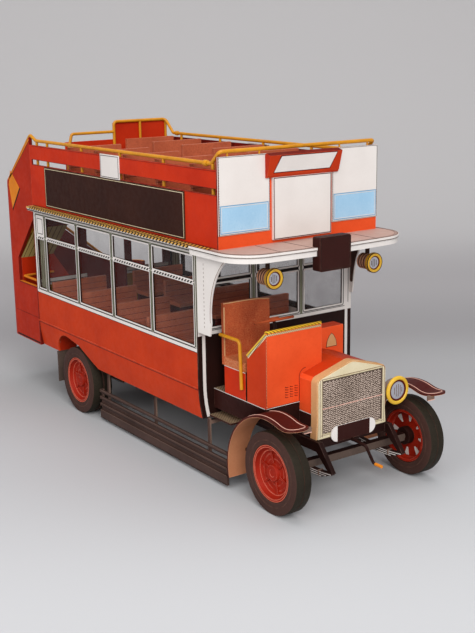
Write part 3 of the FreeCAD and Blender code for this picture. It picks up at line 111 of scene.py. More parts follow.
def add_node(tree, kind, inputs=None, **settings):
    """Adds a node, sets its properties, and fills or links its sockets by name or number."""
    node = tree.nodes.new(kind)
    for key, value in settings.items():
        setattr(node, key, value)
    for key, value in (inputs or {}).items():
        if isinstance(value, bpy.types.NodeSocket):
            tree.links.new(value, node.inputs[key])
        else:
            node.inputs[key].default_value = value
    return node


def new_material(name, rough, specular):
    """A material with its shader, and the object's own coordinates in mm."""
    material = bpy.data.materials.new(name)
    material.use_nodes = True
    tree = material.node_tree
    tree.nodes.clear()
    shader = add_node(tree, "ShaderNodeBsdfPrincipled",
                      {"Roughness": rough, "Specular IOR Level": specular})
    add_node(tree, "ShaderNodeOutputMaterial", {"Surface": shader.outputs[0]})
    coords = add_node(tree, "ShaderNodeTexCoord")
    scaled = add_node(tree, "ShaderNodeVectorMath", {0: coords.outputs["Object"], 3: 1.0 / MM},
                      operation="SCALE")
    return material, tree, shader, scaled.outputs[0]


def patches(tree, place, period, low, high, top=1.0, detail=3.0, stretch=(1.0, 1.0, 1.0)):
    """A mask of soft patches about period mm across: 0 where the noise is low, top where high."""
    scale = tuple(1.0 / (period * s) for s in stretch)
    scaled = add_node(tree, "ShaderNodeVectorMath", {0: place, 1: scale}, operation="MULTIPLY")
    texture = add_node(tree, "ShaderNodeTexNoise",
                       {"Vector": scaled.outputs[0], "Scale": 1.0, "Detail": detail})
    mask = add_node(tree, "ShaderNodeMapRange", {0: texture.outputs[0], 1: low, 2: high, 3: 0.0,
                                                 4: top})
    return mask.outputs[0]


def ruled(tree, place, direction, pitch, share):
    """A mask of straight printed lines across a direction, each filling a share of the pitch."""
    steps = tuple(d / pitch for d in direction)
    run = add_node(tree, "ShaderNodeVectorMath", {0: place, 1: steps}, operation="DOT_PRODUCT")
    turn = add_node(tree, "ShaderNodeMath", {0: run.outputs["Value"]}, operation="FRACT")
    line = add_node(tree, "ShaderNodeMath", {0: turn.outputs[0], 1: share},
                    operation="LESS_THAN")
    return line.outputs[0]


def knife_edges(tree, place):
    """A mask of the thin edges where a knife has cut through the print, patchy along them."""
    bevel = add_node(tree, "ShaderNodeBevel", {"Radius": CUT_EDGE * MM}, samples=4)
    face = add_node(tree, "ShaderNodeNewGeometry")
    facing = add_node(tree, "ShaderNodeVectorMath",
                      {0: bevel.outputs[0], 1: face.outputs["Normal"]}, operation="DOT_PRODUCT")
    worn = add_node(tree, "ShaderNodeMapRange", {0: facing.outputs["Value"], 1: 0.999, 2: 0.95,
                                                 3: 0.0, 4: 0.7})
    broken = add_node(tree, "ShaderNodeMath",
                      {0: worn.outputs[0], 1: patches(tree, place, 2.2, 0.35, 0.6)},
                      operation="MULTIPLY")
    return broken.outputs[0]


def coats(tree, shader, base, layers):
    """Colours the shader with a base under layers of (mask, colour), laid in that order."""
    colour = linear(base)
    for mask, code in layers:
        mix = add_node(tree, "ShaderNodeMix", {0: mask, 6: colour, 7: linear(code)},
                       data_type="RGBA")
        colour = mix.outputs[2]
    tree.links.new(colour, shader.inputs["Base Color"])


def relief(tree, shader, height, depth):
    """Raises the surface by a height of 0 to 1, depth mm at most."""
    bump = add_node(tree, "ShaderNodeBump",
                    {"Strength": 0.6, "Distance": depth * MM, "Height": height})
    tree.links.new(bump.outputs[0], shader.inputs["Normal"])


def printed_card(name, ink, shade, rough=0.55, mottle=0.6, speck=0.25, edge=None, lines=(),
                 line_ink="1E1613", specular=0.12, bow=0.08):
    """Laser-printed card: ink laid unevenly over paper grain, worn or bare along its cut edges.

    The eye gets soft blotches a centimetre across, a fine tooth of paper fibre, a slight bow
    of the sheet, and a thin edge of another tone where the knife has cut through the print.
    """
    material, tree, shader, place = new_material(name, rough, specular)
    layers = [(patches(tree, place, 9.0, 0.35, 0.7, mottle), shade),
              (patches(tree, place, 0.55, 0.45, 0.75, speck, 4.0), shade),
              (patches(tree, place, 0.9, 0.55, 0.8, speck * 0.7, 2.0, (1.0, 5.0, 1.0)), ink)]
    layers += [(ruled(tree, place, *line), line_ink) for line in lines]
    if edge:
        layers.append((knife_edges(tree, place), edge))
    coats(tree, shader, ink, layers)
    gloss = add_node(tree, "ShaderNodeMapRange", {0: patches(tree, place, 1.6, 0.3, 0.75),
                                                  3: rough - 0.08, 4: rough + 0.1})
    tree.links.new(gloss.outputs[0], shader.inputs["Roughness"])
    fibre = patches(tree, place, 0.35, 0.0, 1.0, 0.25)
    sheet = patches(tree, place, 14.0, 0.0, 1.0, 1.0, 1.0)
    height = add_node(tree, "ShaderNodeMath", {0: fibre, 1: sheet}, operation="ADD")
    relief(tree, shader, height.outputs[0], bow)
    return material


def leather_print(name, ink, shade, glint, pitch=1.1):
    """Card printed to look like grained hide: close dark pores and short pale creases."""
    material, tree, shader, place = new_material(name, 0.5, 0.15)
    hide = add_node(tree, "ShaderNodeTexVoronoi", {"Vector": place, "Scale": 1.0 / pitch},
                    feature="DISTANCE_TO_EDGE")
    crease = add_node(tree, "ShaderNodeMapRange", {0: hide.outputs[0], 1: 0.12, 2: 0.02, 3: 0.0,
                                                   4: 0.45})
    coats(tree, shader, ink, [(patches(tree, place, 6.0, 0.3, 0.72, 0.8), shade),
                              (crease.outputs[0], glint),
                              (patches(tree, place, 0.45, 0.55, 0.72, 0.5), shade)])
    relief(tree, shader, hide.outputs[0], 0.03)
    return material


def painted_wire(name, paint, shade, nick="8A5A12"):
    """Soft wire brushed with enamel: satin, with thicker paint in darker drips and small nicks."""
    material, tree, shader, place = new_material(name, 0.38, 0.35)
    coats(tree, shader, paint, [(patches(tree, place, 3.0, 0.4, 0.75, 0.7), shade),
                                (patches(tree, place, 0.5, 0.66, 0.74, 0.5, 2.0), nick)])
    relief(tree, shader, patches(tree, place, 0.8, 0.0, 1.0, 1.0, 2.0), 0.03)
    return material


def acetate_film(name):
    """Clear acetate sheet: almost nothing but a soft gloss, a grey tint and a little dust."""
    material, tree, shader, place = new_material(name, 0.1, 0.5)
    shader.inputs["Base Color"].default_value = linear("4C4646")
    dust = patches(tree, place, 5.0, 0.3, 0.8, 1.0, 4.0)
    for socket, clean, dusty in (("Alpha", 0.09, 0.17), ("Roughness", 0.06, 0.24)):
        value = add_node(tree, "ShaderNodeMapRange", {0: dust, 3: clean, 4: dusty})
        tree.links.new(value.outputs[0], shader.inputs[socket])
    return material


RED = printed_card("red_printed_card_satin", "C43A12", "AA2A0B", edge="DE8466")
# a darker copy of the body red for the rear and for faces in shadow: painted shade
RED_SHADED = printed_card("red_card_painted_shade_satin", "B02A10", "961E0A", edge="CC6A50")
RED_UPPER = printed_card("bright_red_printed_card_satin", "C63110", "AC220A", edge="DE8468")
# a lighter, more orange copy of the body red for faces turned to the front light: painted light
RED_LIT = printed_card("red_card_painted_light_satin", "E65528", "D0441B", edge="F4A284")
RED_DARK = printed_card("dark_red_printed_card", "78150B", "560E08", edge="A0402F")
WHITE = printed_card("white_printed_card", "E4DEDA", "D3CBC6", mottle=0.4, speck=0.12,
                     edge="B5ACA4")
BLACK = printed_card("black_printed_card", "260F0B", "180B09", edge="6A5048")
BROWN = printed_card("dark_brown_printed_card", "341410", "240E0B", edge="8A6454")
MAROON = printed_card("maroon_printed_card", "4A120C", "3A0D09", edge="7A4C40")
BOARD = printed_card("brown_sign_board_card", "361A12", "26100B", edge="9A7048")
GREEN = printed_card("grey_green_printed_card", "7C7E68", "666854", mottle=0.5)
INK = printed_card("black_ink_line", "1E1411", "120C0A", mottle=0.3)
CREAM = printed_card("cream_printed_card", "DED2B4", "CABB94", mottle=0.6, edge="A08A60")
DECK = printed_card("pink_grey_deck_card", "BE9E92", "AC8A7E", mottle=0.5, edge="6B554C")
GREY = printed_card("pale_grey_printed_card", "CFC9C4", "B9B1AB", mottle=0.4)
GOLD = printed_card("ochre_printed_card", "A87824", "8C6018", mottle=0.7, edge="D9B46A")
TAN_BAND = printed_card("tan_drum_band_print", "B88468", "9A6A50", mottle=0.5)
KRAFT = printed_card("kraft_card_underside", "BC7E5A", "A26444", mottle=0.6, edge="D0A488")
TAUPE = printed_card("taupe_printed_card", "7E665A", "665044", mottle=0.5)
PINK_LINE = printed_card("pale_pink_ink_line", "E2B2A2", "D09A8A", mottle=0.4)
SLAT = printed_card("dark_brown_slat_card", "4E3A34", "3C2C28", mottle=0.6, speck=0.5)
CORE = printed_card("dark_core_print_card", "5C4C44", "463A34", mottle=0.5, speck=0.5)
CORE_PALE = printed_card("pale_core_weave_print", "D2BEB0", "A89688", mottle=0.9,
                         speck=0.8)
STEEL = printed_card("pale_steel_print_card", "A89C94", "8C7E76", mottle=0.6, speck=0.5)
TAN = printed_card("tan_printed_card", "CE9C6C", "B68452", mottle=0.5, edge="F0D9B8")
FLOOR = printed_card("plank_printed_floor_card", "663A2A", "502C20",
                     lines=[((1.0, 0.0, 0.0), 2.4, 0.1)])
BLUE = printed_card("light_blue_printed_card", "AACEE7", "96C0DE", mottle=0.9, speck=0.6)
BLUE_DARK = printed_card("mid_blue_ink_line", "6A9AC0", "5A8AB2", mottle=0.4)
# the saloon benches' slat print, made paler than the upper deck's to stand in for light inside the
# saloon: real print with painted light
SEAT_LIT = printed_card("slat_printed_seat_card_painted_light", "CC7454", "AA563C", mottle=0.6, speck=0.6,
                    edge="DCA48C")
SEAT_UPPER = printed_card("speckled_seat_card", "C06444", "9E4C34", mottle=0.6, speck=0.7,
                          edge="D29A80")
ORANGE = printed_card("orange_printed_card", "DE8424", "C46C16", mottle=0.5)
TYRE = printed_card("laminated_tyre_card_side", "48302A", "38241F", mottle=0.6, speck=0.5,
                    edge="6A4A3E", rough=0.6)
TREAD = printed_card("laminated_tyre_card_tread", "2E281F", "201B15", mottle=0.6, speck=0.6,
                     rough=0.65)
WHEEL_RED = printed_card("red_wheel_card_satin", "9C1F0A", "741204", mottle=0.7, edge="DC7C68")
WHEEL_PALE = printed_card("pale_red_rim_line", "DA7058", "C05A44", mottle=0.5)
HUB_DARK = printed_card("dark_red_hub_card", "5C160F", "42100B", mottle=0.5)
LENS = printed_card("grey_printed_lens", "A9A9B2", "8E8E98", rough=0.3, mottle=0.5,
                    specular=0.4)
GOLD_PAINT = painted_wire("ochre_enamelled_wire", "D08C14", "B4720C")
YELLOW = painted_wire("yellow_enamelled_ring", "E4B838", "CE9C22")
LAMP_GOLD = painted_wire("old_gold_enamelled_ring", "A87A1C", "8A6014")
HIDE = leather_print("brown_leather_print_card", "B85430", "842C18", "C87C50", pitch=0.5)
HANDWHEEL = printed_card("brown_red_handwheel_card", "A04420", "84341A", mottle=0.6,
                         edge="C06A44")
HIDE_SIDE = leather_print("tan_leather_print_card", "C26A40", "A65430", "D89870", pitch=0.8)
FILM = acetate_film("clear_acetate_film")
HATCH = printed_card("ochre_ledge_card", "D6A64E", "BA883A", mottle=0.5)
ROPE = printed_card("rope_twist_trim_card", "E2B22C", "CC981C", mottle=0.5, rough=0.4,
                    lines=[((1.0, 0.9, 1.1), 1.05, 0.36)], line_ink="4A3010")
DASHED = printed_card("dashed_trim_card", "E6D8B0", "D2C090", mottle=0.4,
                      lines=[((1.0, 1.0, 1.0), 0.6, 0.5)], line_ink="3A2016")
CURTAIN = printed_card("streaked_curtain_print", "9C977C", "4A4436", mottle=0.2,
                       lines=[((0.0, 1.0, 0.07), 1.35, 0.3), ((0.0, 1.0, -0.05), 2.1, 0.14)],
                       line_ink="5C5644")
CEILING = printed_card("slatted_ceiling_print", "A8925A", "8E7844", mottle=0.5,
                       lines=[((1.0, 0.0, 0.0), 1.8, 0.12)], line_ink="3C2C18")
TREAD_PLATE = printed_card("tread_plate_print_card", "AC9478", "8A7258", mottle=0.8,
                           lines=[((1.0, 1.0, 0.0), 0.9, 0.3), ((1.0, -1.0, 0.0), 0.9, 0.26)],
                           line_ink="4E3E30")


# ---------------------------------------------------------------- shapes
AXES = {"X": (1, 2, 0), "Y": (0, 2, 1), "Z": (0, 1, 2)}     # outline axes, then the depth axis
BEVEL_FROM = 30.0       # degrees: sharper bends than this are cut edges


def spot(x, y, z):
    """A point in mm from the front axle, in the frame's metres."""
    return Vector((x * MM, y * MM + AXLE_Y, z * MM))


def across_axis(axis, a, b, level):
    """The point at (a, b) in the plane across an axis, at a level along it."""
    point = [0.0, 0.0, 0.0]
    for place, value in zip(AXES[axis], (a, b, level)):
        point[place] = value
    return point


class Model:
    """Collects closed shells of several materials, then makes one object of them."""

    def __init__(self):
        self.bm = bmesh.new()
        self.materials = []

    def shell(self, material, points, faces, smooth=False):
        """Adds one closed shell, with its faces turned outwards."""
        if material not in self.materials:
            self.materials.append(material)
        index = self.materials.index(material)
        verts = [self.bm.verts.new(spot(*p)) for p in points]
        made = [self.bm.faces.new([verts[i] for i in face]) for face in faces]
        for face in made:
            face.material_index = index
            face.smooth = smooth
        bmesh.ops.recalc_face_normals(self.bm, faces=made)

    def prism(self, material, outline, axis, start, end, smooth=False):
        """An outline in the plane across an axis, pushed from start to end along it."""
        points = [across_axis(axis, *p, level) for level in (start, end) for p in outline]
        n = len(outline)
        faces = [list(range(n)), list(range(n, 2 * n))]
        faces += [(i, (i + 1) % n, (i + 1) % n + n, i + n) for i in range(n)]
        self.shell(material, points, faces, smooth)

    def block(self, material, x0, x1, y0, y1, z0, z1):
        self.prism(material, [(x0, y0), (x1, y0), (x1, y1), (x0, y1)], "Z", z0, z1)

    def side(self, material, x, y0, y1, z0, z1, lift=RELIEF):
        """A printed layer on a side face at x, lifted off it away from the model's middle."""
        self.block(material, x, x + math.copysign(1.0, x) * lift, y0, y1, z0, z1)

    def front(self, material, x0, x1, y, z0, z1, lift=RELIEF):
        """A printed layer on a face that looks forward at y."""
        self.block(material, x0, x1, y - lift, y, z0, z1)

    def frame(self, material, axis, box, width, start, end):
        """A flat rectangular border just inside a box (a0, a1, b0, b1) across an axis."""
        a0, a1, b0, b1 = box
        w = width
        for left, right, foot, top in ((a0, a1, b0, b0 + w), (a0, a1, b1 - w, b1),
                                       (a0, a0 + w, b0 + w, b1 - w), (a1 - w, a1, b0 + w, b1 - w)):
            self.prism(material, [(left, foot), (right, foot), (right, top), (left, top)], axis,
                       start, end)

    def outline(self, material, axis, box, radius, width, start, end):
        """A printed line with rounded corners: the strip between two rounded rectangles."""
        a0, a1, b0, b1 = box
        w = width
        outer = rounded_box(a0, a1, b0, b1, radius)
        inner = rounded_box(a0 + w, a1 - w, b0 + w, b1 - w, max(radius - w, 0.05))
        n = len(outer)
        points = [across_axis(axis, *p, level) for level in (start, end) for p in outer + inner]
        faces = []
        for i in range(n):
            j = (i + 1) % n
            faces += [(i, j, j + n, i + n), (i + 2 * n, i + 3 * n, j + 3 * n, j + 2 * n),
                      (i, i + 2 * n, j + 2 * n, j), (i + n, j + n, j + 3 * n, i + 3 * n)]
        self.shell(material, points, faces)

    def lathe(self, material, profile, axis, centre, steps=48):
        """A profile of (radius, along) turned round an axis; radius 0 ends close at a pole."""
        first, second, depth = AXES[axis]
        points, rings = [], []
        for radius, level in profile:
            count = steps if radius > 0.0 else 1
            rings.append(range(len(points), len(points) + count))
            for i in range(count):
                angle = 2.0 * math.pi * i / steps
                point = list(centre)
                point[first] += radius * math.cos(angle)
                point[second] += radius * math.sin(angle)
                point[depth] += level
                points.append(point)
        pairs = list(zip(rings, rings[1:]))
        if profile[0][0] > 0.0:
            pairs.append((rings[-1], rings[0]))
        faces = []
        for a, b in pairs:
            for i in range(steps):
                j = (i + 1) % steps
                corners = [a[i % len(a)], a[j % len(a)], b[j % len(b)], b[i % len(b)]]
                faces.append(list(dict.fromkeys(corners)))
        self.shell(material, points, faces, smooth=True)

    def ribbon(self, material, path, axis, inner, outer, start, end, smooth=True):
        """A band that follows an open path across an axis, offset between inner and outer."""
        near, far = offset(path, inner), offset(path, outer)
        self.prism(material, near + far[::-1], axis, start, end, smooth)

    def mesh(self, name):
        """The shells as one mesh; nothing can be added after it."""
        mesh = bpy.data.meshes.new(name)
        self.bm.to_mesh(mesh)
        self.bm.free()
        for material in self.materials:
            mesh.materials.append(material)
        return mesh

    def done(self, name, body=ROOT, slot=None, replaces=(), bevel=0.0, angle=35.0):
        return put(name, self.mesh(name), body, replaces, bevel, angle)


def put(name, mesh, body=ROOT, replaces=(), bevel=0.0, angle=35.0):
    """Shows a mesh as a piece that rides on a body and stands for the CAD nodes named."""
    mesh.set_sharp_from_angle(angle=math.radians(angle))
    piece = bpy.data.objects.new(name, mesh)
    bpy.context.scene.collection.objects.link(piece)
    if bevel:
        rounding = piece.modifiers.new("cut_edges", "BEVEL")
        rounding.width = bevel * MM
        rounding.segments = 2
        rounding.limit_method = "ANGLE"
        rounding.angle_limit = math.radians(BEVEL_FROM)
        rounding.harden_normals = True
    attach(piece, body)
    if replaces:
        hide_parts(*replaces)
    return piece


def offset(path, distance):
    """An open 2-D path moved sideways, to its left where the distance is positive."""
    moved = []
    for i, (a, b) in enumerate(path):
        before = path[max(i - 1, 0)]
        after = path[min(i + 1, len(path) - 1)]
        run = math.hypot(after[0] - before[0], after[1] - before[1])
        moved.append((a - (after[1] - before[1]) / run * distance,
                      b + (after[0] - before[0]) / run * distance))
    return moved


def arc(centre, radius, start, end, steps):
    """Points of an arc, angles in degrees."""
    return [(centre[0] + radius * math.cos(math.radians(start + (end - start) * i / steps)),
             centre[1] + radius * math.sin(math.radians(start + (end - start) * i / steps)))
            for i in range(steps + 1)]


def rounded_box(a0, a1, b0, b1, radius, steps=6):
    """The outline of a rectangle with rounded corners."""
    corners = (((a1 - radius, b0 + radius), -90), ((a1 - radius, b1 - radius), 0),
               ((a0 + radius, b1 - radius), 90), ((a0 + radius, b0 + radius), 180))
    return [p for centre, turn in corners for p in arc(centre, radius, turn, turn + 90, steps)]


def body_node(node):
    """The body that a CAD node belongs to."""
    bodies = record["behaviour"]["bodies"]
    return next(body for body, nodes in bodies.items() if node in nodes)


def paint(node, material, rule=None):
    """Gives a CAD node one material, or one for each face from its normal and middle in mm."""
    mesh = frame["nodes"][node].data
    mesh.materials.clear()
    mesh.materials.append(material)
    if rule is None:
        return
    for face in mesh.polygons:
        c = face.center
        chosen = rule(face.normal, Vector((c.x / MM, (c.y - AXLE_Y) / MM, c.z / MM)))
        if chosen.name not in mesh.materials:
            mesh.materials.append(chosen)
        face.material_index = mesh.materials.find(chosen.name)


def recut(node, material, rule=None, bevel=0.0, angle=32.0):
    """A CAD node's own shape with smooth bends and softened cut edges, in its place."""
    paint(node, material, rule)
    mesh = frame["nodes"][node].data.copy()
    shape = bmesh.new()
    shape.from_mesh(mesh)
    bmesh.ops.remove_doubles(shape, verts=shape.verts, dist=0.001 * MM)
    bmesh.ops.dissolve_limit(shape, angle_limit=math.radians(0.5), verts=shape.verts,
                             edges=shape.edges, delimit={"MATERIAL"})
    for face in shape.faces:
        face.smooth = True
    shape.to_mesh(mesh)
    shape.free()
    return put(node + "_cut", mesh, body_node(node), (node,), bevel, angle)


# ---------------------------------------------------------------- geometry-node trees
def new_tree(name, inputs):
    """A geometry tree with named inputs; returns it with its input and output nodes."""
    tree = bpy.data.node_groups.new(name, "GeometryNodeTree")
    face = tree.interface
    face.new_socket("Geometry", in_out="INPUT", socket_type="NodeSocketGeometry")
    face.new_socket("Geometry", in_out="OUTPUT", socket_type="NodeSocketGeometry")
    for key, kind in inputs.items():
        face.new_socket(key, in_out="INPUT", socket_type="NodeSocket" + kind)
    return tree, add_node(tree, "NodeGroupInput").outputs, add_node(tree, "NodeGroupOutput")


def end_tree(tree, geometry, material, output):
    """Ends a tree with real geometry of one material."""
    real = add_node(tree, "GeometryNodeRealizeInstances", {"Geometry": geometry})
    painted = add_node(tree, "GeometryNodeSetMaterial",
                       {"Geometry": real.outputs[0], "Material": material})
    tree.links.new(painted.outputs[0], output.inputs[0])
    return tree


def wire_tree():
    """A round wire along the path it is given, with its corners bent to one radius."""
    tree, given, output = new_tree("bent_wire", {"Radius": "Float", "Bend": "Float",
                                                 "Material": "Material"})
    bent = add_node(tree, "GeometryNodeFilletCurve",
                    {"Curve": given["Geometry"], "Count": 8, "Radius": given["Bend"],
                     "Limit Radius": True}, mode="POLY")
    profile = add_node(tree, "GeometryNodeCurvePrimitiveCircle",
                       {"Resolution": 20, "Radius": given["Radius"]})
    tube = add_node(tree, "GeometryNodeCurveToMesh",
                    {"Curve": bent.outputs[0], "Profile Curve": profile.outputs[0],
                     "Fill Caps": True})
    return end_tree(tree, tube.outputs[0], given["Material"], output)


def row_tree():
    """The same small bar, leant over along Y, at even steps along a straight line."""
    tree, given, output = new_tree("bar_row", {
        "Start": "Vector", "Step": "Vector", "Count": "Int", "Size": "Vector", "Turn": "Vector",
        "Lean": "Vector", "Jitter": "Float", "Seed": "Int", "Material": "Material"})
    line = add_node(tree, "GeometryNodeMeshLine",
                    {"Count": given["Count"], "Start Location": given["Start"],
                     "Offset": given["Step"]}, mode="OFFSET")
    shake = add_node(tree, "FunctionNodeRandomValue",
                     {"Min": (-1.0, -1.0, -1.0), "Max": (1.0, 1.0, 1.0), "Seed": given["Seed"]},
                     data_type="FLOAT_VECTOR")
    amount = add_node(tree, "ShaderNodeVectorMath",
                      {0: shake.outputs[0], 3: given["Jitter"]}, operation="SCALE")
    moved = add_node(tree, "GeometryNodeSetPosition",
                     {"Geometry": line.outputs[0], "Offset": amount.outputs[0]})
    bar = add_node(tree, "GeometryNodeMeshCube", {"Size": given["Size"]})
    corner = add_node(tree, "GeometryNodeInputPosition")
    lean = add_node(tree, "ShaderNodeVectorMath", {0: corner.outputs[0], 1: given["Lean"]},
                    operation="DOT_PRODUCT")
    over = add_node(tree, "ShaderNodeCombineXYZ", {"Y": lean.outputs["Value"]})
    leant = add_node(tree, "GeometryNodeSetPosition",
                     {"Geometry": bar.outputs[0], "Offset": over.outputs[0]})
    placed = add_node(tree, "GeometryNodeInstanceOnPoints",
                      {"Points": moved.outputs[0], "Instance": leant.outputs[0],
                       "Rotation": given["Turn"]})
    return end_tree(tree, placed.outputs[0], given["Material"], output)


def ring_tree():
    """The same shape, given as the object's own mesh, copied round an X axis."""
    tree, given, output = new_tree("round_the_hub", {
        "Centre": "Vector", "Count": "Int", "Phase": "Float", "Material": "Material"})
    dots = add_node(tree, "GeometryNodeMeshLine",
                    {"Count": given["Count"], "Start Location": given["Centre"],
                     "Offset": (0.0, 0.0, 0.0)}, mode="OFFSET")
    index = add_node(tree, "GeometryNodeInputIndex")
    turn = add_node(tree, "ShaderNodeMath", {0: 2.0 * math.pi, 1: given["Count"]},
                    operation="DIVIDE")
    angle = add_node(tree, "ShaderNodeMath",
                     {0: index.outputs[0], 1: turn.outputs[0], 2: given["Phase"]},
                     operation="MULTIPLY_ADD")
    spin = add_node(tree, "ShaderNodeCombineXYZ", {"X": angle.outputs[0]})
    placed = add_node(tree, "GeometryNodeInstanceOnPoints",
                      {"Points": dots.outputs[0], "Instance": given["Geometry"],
                       "Rotation": spin.outputs[0]})
    return end_tree(tree, placed.outputs[0], given["Material"], output)


def grow(name, tree, values, source=None, smooth=False):
    """Runs a tree on a source object, or on nothing, and returns the result as a plain mesh."""
    holder = source or bpy.data.objects.new(name, bpy.data.meshes.new(name))
    bpy.context.scene.collection.objects.link(holder)
    modifier = holder.modifiers.new(name, "NODES")
    modifier.node_group = tree
    for item in tree.interface.items_tree:
        if item.in_out == "INPUT" and item.name in values:
            modifier[item.identifier] = values[item.name]
    depsgraph = bpy.context.evaluated_depsgraph_get()
    mesh = bpy.data.meshes.new_from_object(holder.evaluated_get(depsgraph))
    bpy.data.objects.remove(holder)
    mesh.name = name
    for face in mesh.polygons:
        face.use_smooth = smooth
    return mesh


WIRE_TREE = wire_tree()
ROW_TREE = row_tree()
RING_TREE = ring_tree()


def wire(name, points, radius, bend, material):
    """Mesh of one bent wire through points in mm."""
    curve = bpy.data.curves.new(name, "CURVE")
    curve.dimensions = "3D"
    spline = curve.splines.new("POLY")
    spline.points.add(len(points) - 1)
    for point, place in zip(spline.points, points):
        point.co = (*spot(*place), 1.0)
    source = bpy.data.objects.new(name, curve)
    return grow(name, WIRE_TREE, {"Radius": radius * MM, "Bend": bend * MM,
                                  "Material": material}, source, smooth=True)


def row(name, start, step, count, size, material, turn=(0.0, 0.0, 0.0), jitter=0.0, seed=1,
        lean=(0.0, 0.0, 0.0)):
    """Mesh of a row of bars, sizes in mm; lean is how far a corner moves along Y per mm."""
    return grow(name, ROW_TREE, {
        "Start": spot(*start), "Step": Vector(step) * MM, "Count": count,
        "Size": Vector(size) * MM, "Turn": Vector([math.radians(a) for a in turn]),
        "Lean": Vector(lean), "Jitter": jitter * MM, "Seed": seed, "Material": material})


def joined(name, meshes, body=ROOT, replaces=(), bevel=0.0):
    """Several meshes as one piece."""
    whole = bmesh.new()
    materials = []
    for mesh in meshes:
        part = bmesh.new()
        part.from_mesh(mesh)
        for face in part.faces:
            material = mesh.materials[face.material_index]
            if material not in materials:
                materials.append(material)
            face.material_index = materials.index(material)
        part.to_mesh(mesh)
        part.free()
        whole.from_mesh(mesh)
    result = bpy.data.meshes.new(name)
    whole.to_mesh(result)
    whole.free()
    for material in materials:
        result.materials.append(material)
    return put(name, result, body, replaces, bevel)


def copies_round(name, material, outline, thick, centre, count, phase):
    """Mesh of the same small plate, cut to an outline in mm, set count times round an X axis."""
    plate = Model()
    plate.prism(material, outline, "X", *thick)
    plate.bm.transform(Matrix.Translation((0.0, -AXLE_Y, 0.0)))
    source = bpy.data.objects.new(name, plate.mesh(name))
    return grow(name, RING_TREE, {"Centre": spot(*centre), "Count": count, "Phase": phase,
                                  "Material": material}, source)


def wires(name, replaces, *meshes):
    """A piece of bent wires that stands for a CAD node."""
    joined(name, meshes, replaces=(replaces,))


# ---------------------------------------------------------------- wheels and tyres
TYRE_R = WHEEL_R - 0.01     # keeps the tread's facets inside the CAD tyre
WEB_BACK = 2.5          # from the tyre's outer face to the back of the web
BORE = 0.85
TREAD_FROM = 9.0        # faces further from the hub than this are tread


def hoop(inner, outer, low, high):
    """The section of a flat ring between two radii and two levels, for the lathe."""
    return [(inner, low), (outer, low), (outer, high), (inner, high)]


def wheel_profile(width):
    """Rim, bowl, web and hub, as (radius, distance outwards from the tyre's inner face)."""
    face = width - 0.2
    web = width - 1.7
    back = width - WEB_BACK
    return [(0.0, width - 1.2), (BORE, width - 1.2),
            (BORE, 0.05), (2.0, 0.05), (2.1, 0.2), (2.1, back - 0.1), (2.35, back), (6.0, back),
            (6.2, back - 0.2), (6.25, 0.3), (6.35, 0.2), (6.85, 0.2), (7.0, 0.35),
            (7.0, face - 0.15), (6.85, face), (6.55, face), (6.5, face - 0.1), (6.4, face - 0.1),
            (6.35, face), (6.25, face - 0.05), (6.1, face - 0.5), (5.6, web + 0.5),
            (5.5, web + 0.42), (5.4, web + 0.42), (5.3, web + 0.3), (4.7, web), (4.55, web + 0.08),
            (4.45, web), (3.4, web), (3.3, web + 0.08), (3.2, web), (2.55, web + 0.05),
            (2.2, web + 0.3), (2.05, width - 0.75), (1.9, width - 0.6), (1.0, width - 0.6),
            (0.9, width - 0.68), (0.0, width - 0.68)]


def tyre_profile(width, groove, depth):
    """A flat-sided tyre of laminated card, with a seam or a gap round its tread."""
    r = TYRE_R
    middle = width / 2.0
    half = [(7.1, 0.1), (7.2, 0.0), (8.15, 0.0), (8.2, 0.05), (8.3, 0.05), (8.35, 0.0),
            (r - 0.4, 0.0), (r - 0.12, 0.1), (r, 0.4), (r, middle - groove),
            (r - depth, middle - groove * 0.8)]
    return half + [(a, width - b) for a, b in reversed(half)]


def make_wheel(end, side, face_x, width, axle_y):
    """One wheel and its tyre; everything is mirrored for the offside."""
    tag = end + "_" + side
    body = tag + "_wheel"
    sign = 1.0 if side == "nearside" else -1.0
    centre = (sign * (face_x - width), axle_y, WHEEL_R)
    groove, depth = (0.45, 0.5) if end == "rear" else (0.12, 0.1)

    def turned(model, material, profile, steps):
        model.lathe(material, [(r, sign * t) for r, t in profile], "X", centre, steps)

    disc = Model()
    turned(disc, WHEEL_RED, wheel_profile(width), 72)
    disc.done("wheel_" + tag + "_disc", body, "wheel_card", ("wheel_" + tag,))
    tyre = Model()
    turned(tyre, TYRE, tyre_profile(width, groove, depth), 96)
    piece = tyre.done("tyre_" + tag + "_ring", body, "tyre_card", ("tyre_" + tag,), angle=30.0)
    piece.data.materials.append(TREAD)
    for face in piece.data.polygons:
        far = (face.center - spot(*centre)).length > TREAD_FROM * MM
        if far and abs(face.normal.x) < 0.6:
            face.material_index = 1
    lines = Model()
    for radius, wide, sunk in ((6.8, 0.15, 0.19), (6.36, 0.11, 0.19), (5.5, 0.09, 1.2)):
        level = width - sunk
        turned(lines, WHEEL_PALE, hoop(radius, radius + wide, level - 0.03, level + 0.03), 72)
    turned(lines, BLACK, hoop(0.9, 2.3, 0.0, width - 2.8), 48)
    lines.done("wheel_" + tag + "_rim_lines", body, "wheel_card")
    ribs = copies_round("ribs", WHEEL_RED, [(2.1, -0.3), (5.5, -0.22), (5.5, 0.22), (2.1, 0.3)],
                        (sign * -0.1, sign * 0.4),
                        (sign * (face_x - 1.7), axle_y, WHEEL_R), 6, 0.3)
    wedge = [(3.6, -0.2), (5.6, -0.75), (5.75, 0.0), (5.6, 0.75), (3.6, 0.2)]
    wedges = copies_round("wedges", GREY, wedge, (0.0, sign * -0.12),
                          (sign * (face_x - WEB_BACK), axle_y, WHEEL_R), 8, 0.1)
    joined("wheel_" + tag + "_ribs", [ribs, wedges], body)


for end, axle_y in (("front", 0.0), ("rear", WHEELBASE)):
    low, high = span("tyre_%s_nearside" % end)
    for side in ("nearside", "offside"):
        make_wheel(end, side, high.x, high.x - low.x, axle_y)

